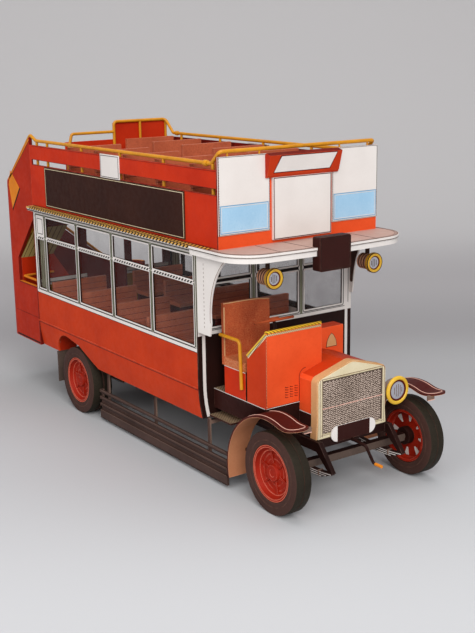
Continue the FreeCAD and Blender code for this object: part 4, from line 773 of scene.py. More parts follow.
# ---------------------------------------------------------------- frame, springs and axles
FRAME_HIGH = span("chassis_frame")[1]
RAIL_X = (10.7, 11.9)
SPRING_REACH = 8.2
SPRING_TOP_Z = WHEEL_R - 0.95
LEAF_BOW = 0.55
LEAF_DROP = 0.5
CLIP_REACH = 3.6
HANGER_Z = (WHEEL_R - 0.8, FRAME_HIGH.z - 2.6)


def leaf_spring(model, lines, sign, axle_y):
    """Three bowed leaves under the axle beam, each shorter than the one above, with clips."""
    x0, x1 = sign * RAIL_X[0], sign * RAIL_X[1]
    for leaf in range(3):
        runs = [SPRING_REACH * (1.0 - 0.22 * leaf) * (i / 6.0 - 1.0) for i in range(13)]
        path = [(axle_y + run, SPRING_TOP_Z + LEAF_BOW * (run / SPRING_REACH) ** 2
                 - LEAF_DROP * leaf) for run in runs]
        model.ribbon(BLACK, path, "X", 0.0, -0.46, x0, x1)
        for x, out in ((x0, -sign), (x1, sign)):
            lines.ribbon(WHITE, path, "X", -0.14, -0.32, x, x + out * RELIEF, smooth=False)
    for y in (axle_y - CLIP_REACH, axle_y + CLIP_REACH):
        model.block(TAUPE, x0 - sign * 0.12, x1 + sign * 0.12, y - 0.25, y + 0.25,
                    SPRING_TOP_Z - 1.1, SPRING_TOP_Z + 0.25)
    for y in (axle_y - SPRING_REACH + 0.5, axle_y + SPRING_REACH - 0.5):
        if y > -1.0:
            model.block(BLACK, x0, x1, y - 0.5, y + 0.5, *HANGER_Z)


recut("chassis_frame", BLACK, bevel=0.08)
springs = Model()
leaf_lines = Model()
for sign in SIDES:
    for axle_y in (0.0, WHEELBASE):
        leaf_spring(springs, leaf_lines, sign, axle_y)
springs.done("spring_leaves", slot="black_card", replaces=("leaf_springs",), bevel=0.04)
leaf_lines.done("spring_leaf_lines", slot="black_card")
recut("front_axle", BLACK, lambda n, c: CORE if n.y < -0.5 else BLACK, 0.08)
recut("rear_axle", BLACK, None, 0.08)

# ---------------------------------------------------------------- saloon
PILLARS = [FIRST_PILLAR_Y + BAY_PITCH * bay for bay in range(BAY_COUNT + 1)]
REAR_PANE = (PILLARS[-1] + PILLAR / 2, SALOON_END_Y - PILLAR - 0.5)
PANES = [(a + PILLAR / 2, b - PILLAR / 2) for a, b in zip(PILLARS, PILLARS[1:])] + [REAR_PANE]
TOP_LIGHT = (TRANSOM_Z + TRANSOM_DEPTH, LINTEL_Z)   # the panes over the transom


def red_outside(normal, centre):
    """Red outside, bare grey card on the inner faces."""
    inward = abs(centre.x) > 0.1 and normal.x * centre.x < -0.5 * abs(centre.x)
    return GREY if inward else RED


recut("side_panels", RED, red_outside)
recut("window_frames", WHITE,
      lambda n, c: WHITE if abs(n.x) > 0.7 and n.x * c.x > 0.0 else BLACK)
recut("bulkhead_frame", WHITE, lambda n, c: WHITE if n.y < -0.7 else BLACK)
recut("bulkhead_panel", BLACK, None, 0.06)
recut("rear_bulkhead", RED_DARK)
paint("window_film", FILM)
paint("saloon_floor", FLOOR)


def pane_print(model, axis, box, start, end):
    """Dark line round a pane's white bead."""
    a0, a1, b0, b1 = box
    out = BEAD + LINE
    model.outline(INK, axis, (a0 - out, a1 + out, b0 - out, b1 + out), 0.7, LINE, start, end)


def side_print(sign):
    """Printed frame round the side windows: white beads, dark lines, grey-green pillars."""
    x = sign * SIDE
    top = x + sign * 2 * RELIEF
    model = Model()
    y0, y1 = PANES[0][0] - BEAD - LINE, REAR_PANE[1] + BEAD + LINE
    over = LINTEL_Z + BEAD + LINE
    for y in PILLARS[1:]:
        model.side(GREEN, x, y - 0.3, y + 0.3, SILL_Z - 0.6, LINTEL_Z + 0.6)
    for y in (y0 - 0.27, y1):
        model.side(GREEN, x, y, y + 0.27, SILL_Z - 0.5, LINTEL_Z + 0.5)
    model.side(GREEN, x, y0, y1, over, over + 0.2)
    for z in (SILL_Z - BEAD - LINE - 0.12, LINTEL_Z + 1.15):
        model.side(INK, x, BULKHEAD_Y + 0.8, SALOON_END_Y - 0.8, z, z + 0.12)
    for pane in PANES:
        for heights in ((SILL_Z, TRANSOM_Z), TOP_LIGHT):
            pane_print(model, "X", pane + heights, x, top)
    model.side(WHITE, x, *REAR_PANE, *TOP_LIGHT)
    label = (REAR_PANE[0] + 0.5, REAR_PANE[1] - 0.5, TOP_LIGHT[0] + 0.5, TOP_LIGHT[1] - 0.5)
    model.outline(INK, "X", label, 0.2, LINE, x, top)
    for material, z0, z1 in ((INK, BELT_Z, BELT_Z + 0.12),
                             (RED_DARK, WAIST_Z - 0.35, WAIST_Z - 0.18)):
        model.side(material, x, BULKHEAD_Y + 0.6, SALOON_END_Y - 0.6, z0, z1)
    return model


side_print(-1.0).done("window_print_offside", slot="white_card")
side_print(1.0).done("window_print_nearside", slot="white_card")

# a white band lies along every transom, shaded with slanted strokes
HATCH_PITCH = 1.35
TRANSOM_MIDDLE = TRANSOM_Z + 0.5 * TRANSOM_DEPTH
BAND_HALF = 0.34
bands = Model()
strokes = []
for sign in SIDES:
    for y_front, y_rear in PANES:
        start = (sign * (SIDE + 2 * RELIEF), y_front + 0.5 * HATCH_PITCH, TRANSOM_MIDDLE)
        strokes.append(row("transom_strokes", start, (0.0, HATCH_PITCH, 0.0),
                           int((y_rear - y_front) / HATCH_PITCH),
                           (3 * RELIEF, 0.72, 2.0 * BAND_HALF - 0.06), INK, lean=(0.0, 0.0, -1.1)))
        bands.side(WHITE, sign * SIDE, y_front - 0.2, y_rear + 0.2, TRANSOM_MIDDLE - BAND_HALF,
                   TRANSOM_MIDDLE + BAND_HALF, 2.5 * RELIEF)
bands.done("transom_bands", slot="white_card")
joined("transom_hatching", strokes)

# the moulding along the waist, the shadow line under it, and the streaked rear curtains
trim = Model()
for sign in SIDES:
    x = sign * (SIDE - 0.02)
    for material, z0, z1, lift in ((RED, WAIST_Z, WAIST_Z + 0.35, 0.16),
                                   (RED_DARK, WAIST_Z - 0.2, WAIST_Z, 0.08)):
        trim.side(material, x, BULKHEAD_Y + 0.5, SALOON_END_Y, z0, z1, lift)
    trim.side(CURTAIN, sign * (SIDE - 0.75), REAR_PANE[0] + 0.3, REAR_PANE[1], SILL_Z,
              TRANSOM_Z, -0.1)
trim.done("waist_moulding", slot="red_card")

# inside face of the rear bulkhead: ochre panels, a pale rail, and the red cut edge outside
REAR_WALL_Y = span("rear_bulkhead")[0].y
DOORWAY_HALF = 7.0
inside = Model()
for sign in SIDES:
    near, far = sorted((sign * (DOORWAY_HALF + 0.5), sign * (SIDE - 1.4)))
    inside.front(GOLD, near, far, REAR_WALL_Y, span("saloon_floor")[1].z, BELT_Z + 1.7)
    inside.front(WHITE, near, far, REAR_WALL_Y, BELT_Z + 1.7, BELT_Z + 3.7)
    inside.front(INK, near, far, REAR_WALL_Y, BELT_Z + 2.4, BELT_Z + 2.6, 2 * RELIEF)
    inside.side(RED_DARK, sign * SIDE, REAR_WALL_Y - 0.05, SALOON_END_Y, SKIRT_Z + 0.2, BELT_Z)
inside.done("rear_wall_print", slot="brown_card")

# the linings of the openings over the rear wheels, from the rear foot to the front foot; their
# darker red is painted shade inside the arches
arch_rear, arch_front = WHEELBASE + WHEEL_R + 3.5, WHEELBASE - WHEEL_R - 2.1
arch_top = 2.0 * WHEEL_R + 2.3
arch = [(arch_rear, SKIRT_Z), (arch_rear - 0.7, SKIRT_Z + 2.5), (arch_rear - 1.6, arch_top - 2.1),
        (arch_rear - 3.6, arch_top - 0.8), (arch_rear - 6.0, arch_top - 0.1),
        (arch_rear - 8.3, arch_top), (WHEELBASE - 2.2, arch_top - 1.3), (arch_front, SKIRT_Z)]
arches = Model()
for sign in SIDES:
    arches.ribbon(RED_SHADED, arch, "X", 0.0, -0.35, sign * (SIDE - 7.2), sign * (SIDE - 1.25),
                  smooth=False)
arches.done("wheel_arch_linings", slot="red_card")

# ---------------------------------------------------------------- front bulkhead
PANE_CORNER = 3.3
MULLION_X = 7.8
MULLION = 2.3
outer_x = SIDE - PANE_CORNER
inner_x = MULLION_X - MULLION / 2
bulk = Model()
for x0, x1 in ((-outer_x, -inner_x - MULLION), (-inner_x, inner_x), (inner_x + MULLION, outer_x)):
    for heights in ((FRONT_SILL_Z, FRONT_TRANSOM_Z), TOP_LIGHT):
        pane_print(bulk, "Y", (x0, x1) + heights, BULKHEAD_Y, BULKHEAD_Y - 2 * RELIEF)
    bulk.front(INK, x0 - 0.3, x1 + 0.3, BULKHEAD_Y, TRANSOM_Z + 0.12, TRANSOM_Z + 0.82)
for x in (-MULLION_X, MULLION_X):
    bulk.front(GREEN, x - 0.38, x + 0.38, BULKHEAD_Y, FRONT_SILL_Z - 0.8, LINTEL_Z + 0.8)
for reach, z in ((outer_x + 1.0, FRONT_SILL_Z - 0.95), (SIDE - 0.3, LINTEL_Z + 1.0)):
    bulk.front(INK, -reach, reach, BULKHEAD_Y, z, z + 0.15)
for x in (1.05 - SIDE, SIDE - 1.05):
    bulk.front(INK, x - 0.08, x + 0.08, BULKHEAD_Y, FRONT_SILL_Z, LINTEL_Z)
bulk.done("bulkhead_print", slot="white_card")

# a white strip runs down the black panel beside each corner, bent with the turned-in skirt
DROP = 9.5
TUMBLE = 1.1
TUMBLE_R = (DROP ** 2 + TUMBLE ** 2) / (2.0 * TUMBLE)


def skirt_x(z):
    """Outer face of the side at a height, with its turned-in foot."""
    below = max(SKIRT_Z + DROP - z, 0.0)
    return SIDE - (TUMBLE_R - math.sqrt(TUMBLE_R ** 2 - below ** 2))


strip = Model()
strip_foot = SKIRT_Z + 0.3
levels = [strip_foot + i * (FRONT_BELT_Z - strip_foot) / 12.0 for i in range(13)]
for sign in SIDES:
    for inner, outer, material in ((2.2, 1.25, WHITE), (2.32, 2.2, INK), (1.25, 1.13, INK)):
        left, right = [[(sign * (skirt_x(z) - inset), z) for z in levels]
                       for inset in (inner, outer)]
        strip.prism(material, left + right[::-1], "Y", BULKHEAD_Y, BULKHEAD_Y - RELIEF)
strip.done("corner_strips", slot="white_card")

# ---------------------------------------------------------------- benches, planked
SEAT_DEPTH = 8.5
SEAT_HEIGHT = 8.6
BOARD_THICK = 1.2


def bench(model, planks, x0, x1, back_y, floor_z, top_z, card):
    """A bench of card: squab, back of stacked planks with dark gaps, and two cross legs."""
    front_y = back_y - SEAT_DEPTH
    squab_z = floor_z + SEAT_HEIGHT
    foot_z = squab_z - BOARD_THICK
    model.prism(card, [(front_y, foot_z), (front_y, squab_z - 0.3), (front_y + 0.3, squab_z),
                       (back_y, squab_z), (back_y, foot_z)], "X", x0, x1)
    height = (top_z - foot_z) / planks
    for plank in range(planks):
        z0 = foot_z + plank * height
        model.block(card, x0, x1, back_y, back_y + BOARD_THICK, z0 + (0.09 if plank else 0.0),
                    z0 + height - (0.09 if plank < planks - 1 else 0.0))
    model.block(RED_DARK, x0 + 0.15, x1 - 0.15, back_y + 0.15, back_y + 1.05, squab_z,
                top_z - 0.5)
    for leg_y in (front_y + 1.0, back_y - 0.8):
        model.block(RED_DARK, x0 + 1.0, x1 - 1.0, leg_y, leg_y + 0.8, floor_z, foot_z)
    for slat in range(4):
        y = front_y + 1.6 + slat * 1.7
        model.block(RED_DARK, x0 + 0.05, x1 - 0.05, y, y + 0.16, squab_z, squab_z + 0.03)


def bench_rows(node, rows, aisle_x, planks, card, last_is_single):
    """Benches on both sides of the aisle, at even steps between the CAD node's ends."""
    low, high = span(node)
    pitch = (high.y - low.y - SEAT_DEPTH - BOARD_THICK) / (rows - 1)
    model = Model()
    for k in range(rows):
        for sign in SIDES:
            if last_is_single and sign < 0.0 and k == rows - 1:
                continue
            x0, x1 = sorted((sign * aisle_x, sign * high.x))
            bench(model, planks, x0, x1, low.y + SEAT_DEPTH + pitch * k, low.z, high.z, card)
    model.done(node + "_planked", slot="seat_card", replaces=(node,), bevel=0.07)


# the saloon benches take the paler seat print: painted light inside the saloon
bench_rows("saloon_seats", 4, 5.2, 4, SEAT_LIT, False)
bench_rows("upper_seats", 6, 5.75, 2, SEAT_UPPER, True)

# ---------------------------------------------------------------- canopy
CANOPY_FRONT_Y = DECK_LOW.y
CANOPY_HALF = DECK_HIGH.x
CANOPY_CORNER = 9.2
CANOPY_BOW = 0.6
SKIN = 0.08             # depth of the print on the edge of the deck card
LAYER = SKIN / 2.0
ROUTE_LOW, ROUTE_HIGH = span("route_box")


def canopy_path(inset):
    """The canopy's edge from its offside rear corner round the bowed front, as (x, y)."""
    half = CANOPY_HALF - inset
    r = CANOPY_CORNER - inset
    side_y = CANOPY_FRONT_Y + CANOPY_BOW + CANOPY_CORNER
    left = [(-half, SALOON_END_Y)] + arc((r - half, side_y), r, 180.0, 270.0, 24)
    bow = [(x * (half - r) / 4.0,
            side_y - r - CANOPY_BOW * (1.0 - (x / 4.0) ** 2)) for x in range(-3, 4)]
    return left + bow + [(-x, y) for x, y in left[::-1]]


# the plan of the deck has a notch at its front, where the route box is let in
notch = [(-ROUTE_HIGH.x, CANOPY_FRONT_Y + SKIN), (-ROUTE_HIGH.x, ROUTE_HIGH.y),
         (ROUTE_HIGH.x, ROUTE_HIGH.y), (ROUTE_HIGH.x, CANOPY_FRONT_Y + SKIN)]
plan = [p for p in canopy_path(SKIN) if p[0] < -ROUTE_HIGH.x] + notch
plan += [p for p in canopy_path(SKIN) if p[0] > ROUTE_HIGH.x]
edge = [p for p in canopy_path(LAYER) if p[1] < BULKHEAD_Y and p[0] < -ROUTE_HIGH.x]
edge = [(LAYER - CANOPY_HALF, BULKHEAD_Y)] + edge + [(-ROUTE_HIGH.x, CANOPY_FRONT_Y + LAYER)]
deck = Model()
deck.prism(CEILING, plan, "Z", DECK_LOW.z, DECK_LOW.z + 0.2)
deck.prism(DECK, plan, "Z", DECK_LOW.z + 0.2, DECK_Z)
for path in (edge, [(-x, y) for x, y in edge[::-1]]):
    for material, z0, z1 in ((WHITE, DECK_LOW.z, DECK_Z - 0.74),
                             (TAUPE, DECK_Z - 0.74, DECK_Z - 0.56),
                             (WHITE, DECK_Z - 0.56, DECK_Z)):
        deck.ribbon(material, path, "Z", -LAYER, LAYER, z0, z1)
for sign in SIDES:
    for material, z0, z1 in ((HATCH, DECK_LOW.z + 0.1, DECK_Z),
                             (WHITE, DECK_LOW.z, DECK_LOW.z + 0.1)):
        deck.side(material, sign * (CANOPY_HALF - SKIN), BULKHEAD_Y + 0.05, SALOON_END_Y,
                  z0, z1, LAYER)
deck.done("deck_card", slot="deck_card", replaces=("upper_deck_floor",), angle=30.0)
recut("canopy_edging", WHITE)
recut("canopy_brackets", WHITE, None, 0.06)

# the brackets' front edges: side, foot, tip, how hollow, the dark print's start and inset
BRACKETS = ((-1.0, (BULKHEAD_Y - 6.1, FRONT_BELT_Z + 4.6),
             (BULKHEAD_Y - 12.5, DECK_LOW.z - 2.0), (3.7, 2.4), 0.3, 0.7),
            (1.0, (BULKHEAD_Y - 1.5, FRONT_BELT_Z + 8.0),
             (BULKHEAD_Y - 6.3, DECK_LOW.z - 2.0), (1.86, 1.21), 0.0, 0.25))
BRACKET_X = SIDE - 0.5
BRACKET_REAR_Y = BULKHEAD_Y - 0.2
MARK_STEP = 1.05


def bracket_edge(foot, tip, hollow, t, inset):
    """A point on a bracket's hollow front edge: 0 at its foot and 1 under the canopy."""
    waist = [(a + b) / 2.0 + c for a, b, c in zip(foot, tip, hollow)]
    y, z = [(1.0 - t) ** 2 * a + 2.0 * t * (1.0 - t) * m + t * t * b
            for a, m, b in zip(foot, waist, tip)]
    return y + inset, z + 0.4 * inset


inner_faces = Model()
bracket_print = Model()
for sign, foot, tip, hollow, start, inset in BRACKETS:
    edge_line = [bracket_edge(foot, tip, hollow, start + (1.0 - start) * i / 12.0, inset)
                 for i in range(13)]
    foot_y, foot_z = edge_line[0]
    half_run = (BRACKET_REAR_Y - foot_y) / 2.0
    dark_face = arc((foot_y + half_run, foot_z), half_run, 180.0, 360.0, 8)
    dark_face += [(BRACKET_REAR_Y, DECK_LOW.z)] + edge_line[:0:-1]
    inner_faces.prism(TYRE, dark_face, "X", sign * BRACKET_X, sign * (BRACKET_X - RELIEF))
    x = sign * SIDE
    outer_line = [bracket_edge(foot, tip, hollow, i / 16.0, 0.22) for i in range(17)]
    bracket_print.ribbon(TAUPE, outer_line, "X", -0.07, 0.07, x, x + sign * RELIEF, smooth=False)
    if sign < 0.0:
        for mark in range(16):
            z = FRONT_BELT_Z + 3.0 + MARK_STEP * mark
            bracket_print.side(TAUPE, x, BULKHEAD_Y - 3.3, BULKHEAD_Y - 3.18, z, z + 0.5)
    bracket_print.side(GREEN, x, BULKHEAD_Y - 0.12, BULKHEAD_Y + 0.12, foot[1] - 3.4,
                       DECK_LOW.z - 1.2)
inner_faces.done("bracket_inner_print", slot="brown_card")
bracket_print.done("bracket_lines", slot="white_card")

# printed on the deck: border, joints of the canopy, aisle slats, and the hatched ledges
LEDGE = CANOPY_HALF - UPPER - 0.55
LEDGE_FIRST_Y = UPPER_FRONT_Y + 2.0
STROKE_STEP = 1.6
AISLE_HALF = 5.2
AISLE_SLATS = range(24, 120, 6)
PRINT_Z = (DECK_Z, DECK_Z + RELIEF)
joint_y, joint_front_y = UPPER_FRONT_Y - 0.3, CANOPY_FRONT_Y + 0.9
deck_print = Model()
for inset, width in ((0.45, 0.16), (1.0, 0.1)):
    deck_print.ribbon(INK, canopy_path(inset), "Z", 0.0, -width, *PRINT_Z, smooth=False)
for rear, fore in ((-14.6, -15.1), (-6.3, -5.8), (6.3, 5.8), (14.6, 15.1)):
    deck_print.prism(INK, [(rear, joint_y), (rear + 0.14, joint_y), (fore + 0.14, joint_front_y),
                           (fore, joint_front_y)], "Z", *PRINT_Z)
for y in AISLE_SLATS:
    deck_print.block(TAUPE, -AISLE_HALF, AISLE_HALF, y, y + 0.14, *PRINT_Z)
hatching = []
for sign in SIDES:
    x0, x1 = sorted((sign * UPPER, sign * (UPPER + LEDGE)))
    deck_print.block(HATCH, x0, x1, LEDGE_FIRST_Y, SALOON_END_Y - 0.6, *PRINT_Z)
    hatching.append(row("cornice_strokes", (sign * (UPPER + LEDGE / 2.0), LEDGE_FIRST_Y + 0.6,
                                            PRINT_Z[1]), (0.0, STROKE_STEP, 0.0),
                        int((SALOON_END_Y - 1.6 - LEDGE_FIRST_Y) / STROKE_STEP),
                        (LEDGE, 0.6, RELIEF), INK, lean=(-0.8 * sign, 0.0, 0.0)))
deck_print.done("deck_joint_lines", slot="deck_card")
# a dark line on the cornice just under the deck's edge: painted shadow of the deck's overhang
cornice_shadow = Model()
for sign in SIDES:
    hatching.append(row("edge_strokes", (sign * (CANOPY_HALF - LAYER), BULKHEAD_Y + 0.6,
                                         (DECK_LOW.z + DECK_Z) / 2.0), (0.0, STROKE_STEP, 0.0),
                        int((SALOON_END_Y - BULKHEAD_Y - 1.2) / STROKE_STEP),
                        (RELIEF, 0.7, 0.76), INK, lean=(0.0, 0.0, -1.2)))
    cornice_shadow.side(INK, sign * (CANOPY_HALF - 0.3), BULKHEAD_Y + 0.1, SALOON_END_Y,
                       DECK_LOW.z - 0.6, DECK_LOW.z - 0.32)
joined("cornice_hatching", hatching)
cornice_shadow.done("cornice_painted_shadow_line", slot="white_card")

# ---------------------------------------------------------------- canopy lamps
LAMP_Y = span("canopy_lamps")[0].y
LAMP_Z = DECK_Z - 6.6
LAMP_X = 15.9
LAMP_RIB = 0.92         # from one rib of the drum to the next
drum = [(0.0, 1.0), (2.0, 1.0)]
for k in range(4):
    y = 1.05 + k * LAMP_RIB
    drum += [(2.0, y), (1.9, y + 0.1), (1.9, y + 0.25), (2.0, y + 0.35)]
drum += [(1.95, 4.75), (1.8, 4.8), (0.0, 4.8)]
turned_parts = [(TYRE, drum)]
for k in range(4):
    y = 1.5 + k * LAMP_RIB
    turned_parts.append((TAN_BAND, [(1.96, y), (2.03, y + 0.03), (2.03, y + 0.38),
                                    (1.96, y + 0.41)]))
turned_parts.append((LAMP_GOLD, [(1.7, 0.32), (1.8, 0.1), (2.0, 0.04), (2.25, 0.0), (2.5, 0.04),
                                 (2.58, 0.2), (2.58, 0.85), (2.5, 1.0), (1.7, 1.0)]))
for radius, material in ((2.5, TREAD), (1.92, YELLOW), (2.2, YELLOW)):
    turned_parts.append((material, hoop(radius - 0.07, radius + 0.07, -0.01, 0.3)))
turned_parts += [(HUB_DARK, [(1.5, 0.26), (1.75, 0.2), (1.75, 0.6), (1.5, 0.6)]),
                 (LENS, [(0.0, 0.3), (1.5, 0.34), (1.55, 0.5), (0.0, 0.5)])]
lamps = Model()
scallops = []
for x in (-LAMP_X, LAMP_X):
    for material, profile in turned_parts:
        lamps.lathe(material, profile, "Y", (x, LAMP_Y, LAMP_Z))
    for dx, tall in ((-0.85, 0.6), (-0.35, 1.1), (0.2, 1.0), (0.75, 0.7)):
        lamps.block(CORE, x + dx - 0.1, x + dx + 0.1, LAMP_Y + 0.27, LAMP_Y + 0.4,
                    LAMP_Z - tall, LAMP_Z + tall)
    lamps.block(TYRE, x - 0.4, x + 0.4, LAMP_Y + 2.5, LAMP_Y + 3.3, LAMP_Z + 1.7, DECK_LOW.z)
    teeth = copies_round("tooth", LAMP_GOLD, [(2.5, -0.14), (2.6, 0.0), (2.5, 0.14)],
                         (0.0, 0.7), (0.0, 0.0, 0.0), 28, 0.0)
    teeth.transform(Matrix.Translation(spot(x, LAMP_Y + 0.1, LAMP_Z))
                    @ Matrix.Rotation(math.radians(90.0), 4, "Z")
                    @ Matrix.Translation((0.0, -AXLE_Y, 0.0)))
    scallops.append(teeth)
lamps.done("canopy_lamp_pair", slot="lamp_card", replaces=("canopy_lamps",))
joined("canopy_lamp_scallops", scallops)

route = Model()
route.prism(BROWN, rounded_box(ROUTE_LOW.x, ROUTE_HIGH.x, ROUTE_LOW.z, ROUTE_HIGH.z, 0.55), "Y",
            ROUTE_LOW.y, ROUTE_HIGH.y)
route.outline(INK, "Y", (ROUTE_LOW.x + 0.35, ROUTE_HIGH.x - 0.35, ROUTE_LOW.z + 0.35,
                         ROUTE_HIGH.z - 0.35), 0.4, 0.12, ROUTE_LOW.y - 0.02, ROUTE_LOW.y)
route.done("route_box_rounded", slot="brown_card", replaces=("route_box",), bevel=0.1)

# ---------------------------------------------------------------- upper deck sides and boards
recut("upper_side_panels", RED_UPPER, lambda n, c: RED_UPPER if n.x * c.x > 0.5 else RED_DARK)
# the upper front panel's front face takes the lighter red copy: painted light from the front
recut("upper_front_panel", RED_UPPER, lambda n, c: RED_LIT if n.y < -0.5 else RED_DARK)
for node, card, bevel in (("upper_rear_panel", RED_UPPER, 0.05), ("side_boards", BOARD, 0.04),
                          ("side_number_boards", WHITE, 0.04), ("front_boards", WHITE, 0.04),
                          ("destination_board", WHITE, 0.05)):
    recut(node, card, None, bevel)
# the destination box's offside face takes the darker red copy: painted shade on the side away from
# the front light
recut("destination_box", RED_LIT,
      lambda n, c: RED_SHADED if c.x < -9.0 and n.x < -0.5 else RED_DARK if n.z > 0.3 else RED, 0.05)

BLUE_FIELD = 7.2        # height of the blue fields at the feet of the front boards
BLUE_INNER_X = 9.9
boards = Model()
low, high = span("side_boards")
number_low, number_high = span("side_number_boards")
for sign in SIDES:
    x = sign * high.x
    top = x + sign * RELIEF
    boards.frame(CREAM, "X", (low.y + 0.35, high.y - 0.35, low.z + 0.35, high.z - 0.35), 0.16,
                 x, top)
    boards.frame(INK, "X", (number_low.y + 0.3, number_high.y - 0.3, number_low.z + 0.25,
                            number_high.z - 0.3), 0.14, x, top)
    for end_gap, z0, z1 in ((0.4, 0.1, 0.32), (1.5, 12.86, 13.0), (1.5, 14.54, 14.68),
                            (1.5, 18.66, 18.8)):
        boards.side(RED_DARK, sign * UPPER, UPPER_FRONT_Y + 0.6, SALOON_END_Y - end_gap,
                    DECK_Z + z0, DECK_Z + z1)
low, high = span("front_boards")
y, z0, z1 = low.y, low.z, low.z + BLUE_FIELD
for sign in SIDES:
    x0, x1 = sorted((sign * BLUE_INNER_X, sign * high.x))
    boards.front(BLUE, x0 + 0.45, x1 - 0.45, y, z0 + 0.45, z1)
    boards.frame(WHITE, "Y", (x0 + 0.75, x1 - 0.75, z0 + 0.75, z1 - 0.3), 0.14, y - 2 * RELIEF,
                 y - RELIEF)
    boards.frame(BLUE_DARK, "Y", (x0 + 0.45, x1 - 0.45, z0 + 0.45, z1), 0.15,
                 y - 1.5 * RELIEF, y)
    boards.frame(INK, "Y", (x0 + 0.12, x1 - 0.12, z0 + 0.12, high.z - 0.12), 0.09, y - RELIEF, y)
    if sign < 0.0:
        boards.front(RED_DARK, x0, x0 + 0.18, y, z0, high.z)
dotted = [row("edge_dots", (x, y - 0.03, z0 + 0.3), (0.0, 0.0, 0.62), 30, (0.12, 0.05, 0.3), INK)
          for x in (-high.x + 0.22, high.x - 0.22, -10.05, 10.05)]
low, high = span("destination_board")
boards.frame(HUB_DARK, "Y", (low.x + 0.12, high.x - 0.12, low.z + 0.12, high.z - 0.1), 0.2,
             low.y - RELIEF, low.y)

# the blank blind on the leaning face of the destination box
low, high = span("destination_box")
HOOD_FOOT = (UPPER_FRONT_Y - 1.2, low.z + 0.6)
HOOD_TOP = (low.y, high.z - 0.5)
HOOD_LEAN = (HOOD_TOP[0] - HOOD_FOOT[0]) / (HOOD_TOP[1] - HOOD_FOOT[1])
for material, lift, g in ((HUB_DARK, 0.03, 0.22), (WHITE, 0.06, 0.0)):
    corners = [(-9.4 - g, HOOD_FOOT[1] + 0.7 - g), (8.0 + g, HOOD_FOOT[1] + 0.7 - g),
               (9.6 + g, HOOD_TOP[1] - 0.35 + g), (-7.8 - g, HOOD_TOP[1] - 0.35 + g)]
    points = [(x, HOOD_FOOT[0] + (z - HOOD_FOOT[1]) * HOOD_LEAN - out, z)
              for out in (lift, -0.02) for x, z in corners]
    boards.shell(material, points, [(0, 1, 2, 3), (4, 5, 6, 7), (0, 1, 5, 4), (1, 2, 6, 5),
                                    (2, 3, 7, 6), (3, 0, 4, 7)])
boards.done("board_borders", slot="white_card")
joined("board_edge_dots", dotted)

# ---------------------------------------------------------------- handrails of bent wire
WIRE = 0.5
POST = 0.42
RAIL_SIDE_X = UPPER - 0.5 - WIRE
RAIL_Z = DECK_Z + 20.3
FRONT_RAIL_Z = DECK_Z + 23.3
SLEEVE_Y = UPPER_FRONT_Y + 6.95
SLEEVE_LENGTH = 1.6
POST_FIRST_Y = UPPER_FRONT_Y + 3.15
POST_PITCH = (SALOON_END_Y - 10.9 - POST_FIRST_Y) / 4.0
RAISED_X = 4.5


def sleeve(x, y):
    """A slightly bulged tube slipped over the joint of two rails."""
    model = Model()
    end = SLEEVE_LENGTH
    profile = [(0.52, 0.0), (0.66, 0.03), (0.75, 0.3), (0.75, end - 0.3), (0.66, end - 0.03),
               (0.52, end)]
    model.lathe(GOLD_PAINT, profile, "Y", (x, y, RAIL_Z), 24)
    return model.mesh("sleeve")


def post(x, y, top_z):
    """A post that stands on the deck."""
    return wire("post", [(x, y, DECK_Z + 0.02), (x, y, top_z)], POST, 0.1, GOLD_PAINT)


WIRE_THIN = 0.48
x = RAIL_SIDE_X
y_front = UPPER_FRONT_Y + 0.25
bend_y = y_front + 3.5
path = [(-x, SLEEVE_Y, RAIL_Z), (-x, bend_y, RAIL_Z), (-x, y_front, FRONT_RAIL_Z),
        (x, y_front, FRONT_RAIL_Z), (x, bend_y, RAIL_Z), (x, SLEEVE_Y, RAIL_Z)]
front_rail = [wire("front_rail", path, WIRE_THIN, 0.9, GOLD_PAINT)]
for px in (-12.6, 12.6, -22.0, 22.0):
    stub = [(px, y_front, FRONT_RAIL_Z - 1.2), (px, y_front, FRONT_RAIL_Z)]
    front_rail.append(wire("stub", stub, 0.24, 0.1, GOLD_PAINT))
for px in (-x, x):
    front_rail += [sleeve(px, SLEEVE_Y - SLEEVE_LENGTH), post(px, POST_FIRST_Y, RAIL_Z)]
wires("front_handrail_wire", "handrail_front", *front_rail)

# the offside rail falls with the stair panel's edge and turns its corner to the platform
PLATFORM_END_Y = span("stair_panel")[1].y
SHELL_WALL = 1.1
CORNER_Y = PLATFORM_END_Y - 6.0
CORNER_X = -UPPER + 6.0
SHELL_TOP_Z = DECK_Z + 21.2
DASH_X = 14.0
DASH_TOP_Z = SKIRT_Z + 18.9
EDGE_RUN = CORNER_Y - SALOON_END_Y + 3.0 * math.pi + DASH_X - CORNER_X
SLOPE = (SHELL_TOP_Z - DASH_TOP_Z) / EDGE_RUN
CORNER_Z = SHELL_TOP_Z - SLOPE * (CORNER_Y - SALOON_END_Y)
REAR_EDGE_Z = CORNER_Z - SLOPE * 3.0 * math.pi
lift = WIRE * math.sqrt(1.0 + SLOPE ** 2) + 0.05
rear_y = PLATFORM_END_Y - SHELL_WALL + WIRE
path = [(-x, SLEEVE_Y, RAIL_Z), (-x, SALOON_END_Y - 3.0, RAIL_Z),
        (-x, SALOON_END_Y + 0.9, SHELL_TOP_Z + lift),
        (-x, CORNER_Y + 1.0, CORNER_Z - SLOPE + lift),
        (CORNER_X - 1.0, rear_y, REAR_EDGE_Z + SLOPE + lift + 0.65),
        (DASH_X, rear_y, DASH_TOP_Z + lift)]
nearside_end_y = SALOON_END_Y - 9.0
side_rails = [wire("offside_rail", path, WIRE, 1.5, GOLD_PAINT),
              wire("nearside_rail", [(x, SLEEVE_Y, RAIL_Z), (x, nearside_end_y, RAIL_Z)],
                   WIRE, 0.1, GOLD_PAINT)]
side_rails += [post(px, POST_FIRST_Y + POST_PITCH * k, RAIL_Z) for k in range(1, 5)
               for px in (-x, x)]
side_rails.append(post(-x, SALOON_END_Y - 3.6, RAIL_Z))
wires("side_handrail_wires", "handrails_side", *side_rails)

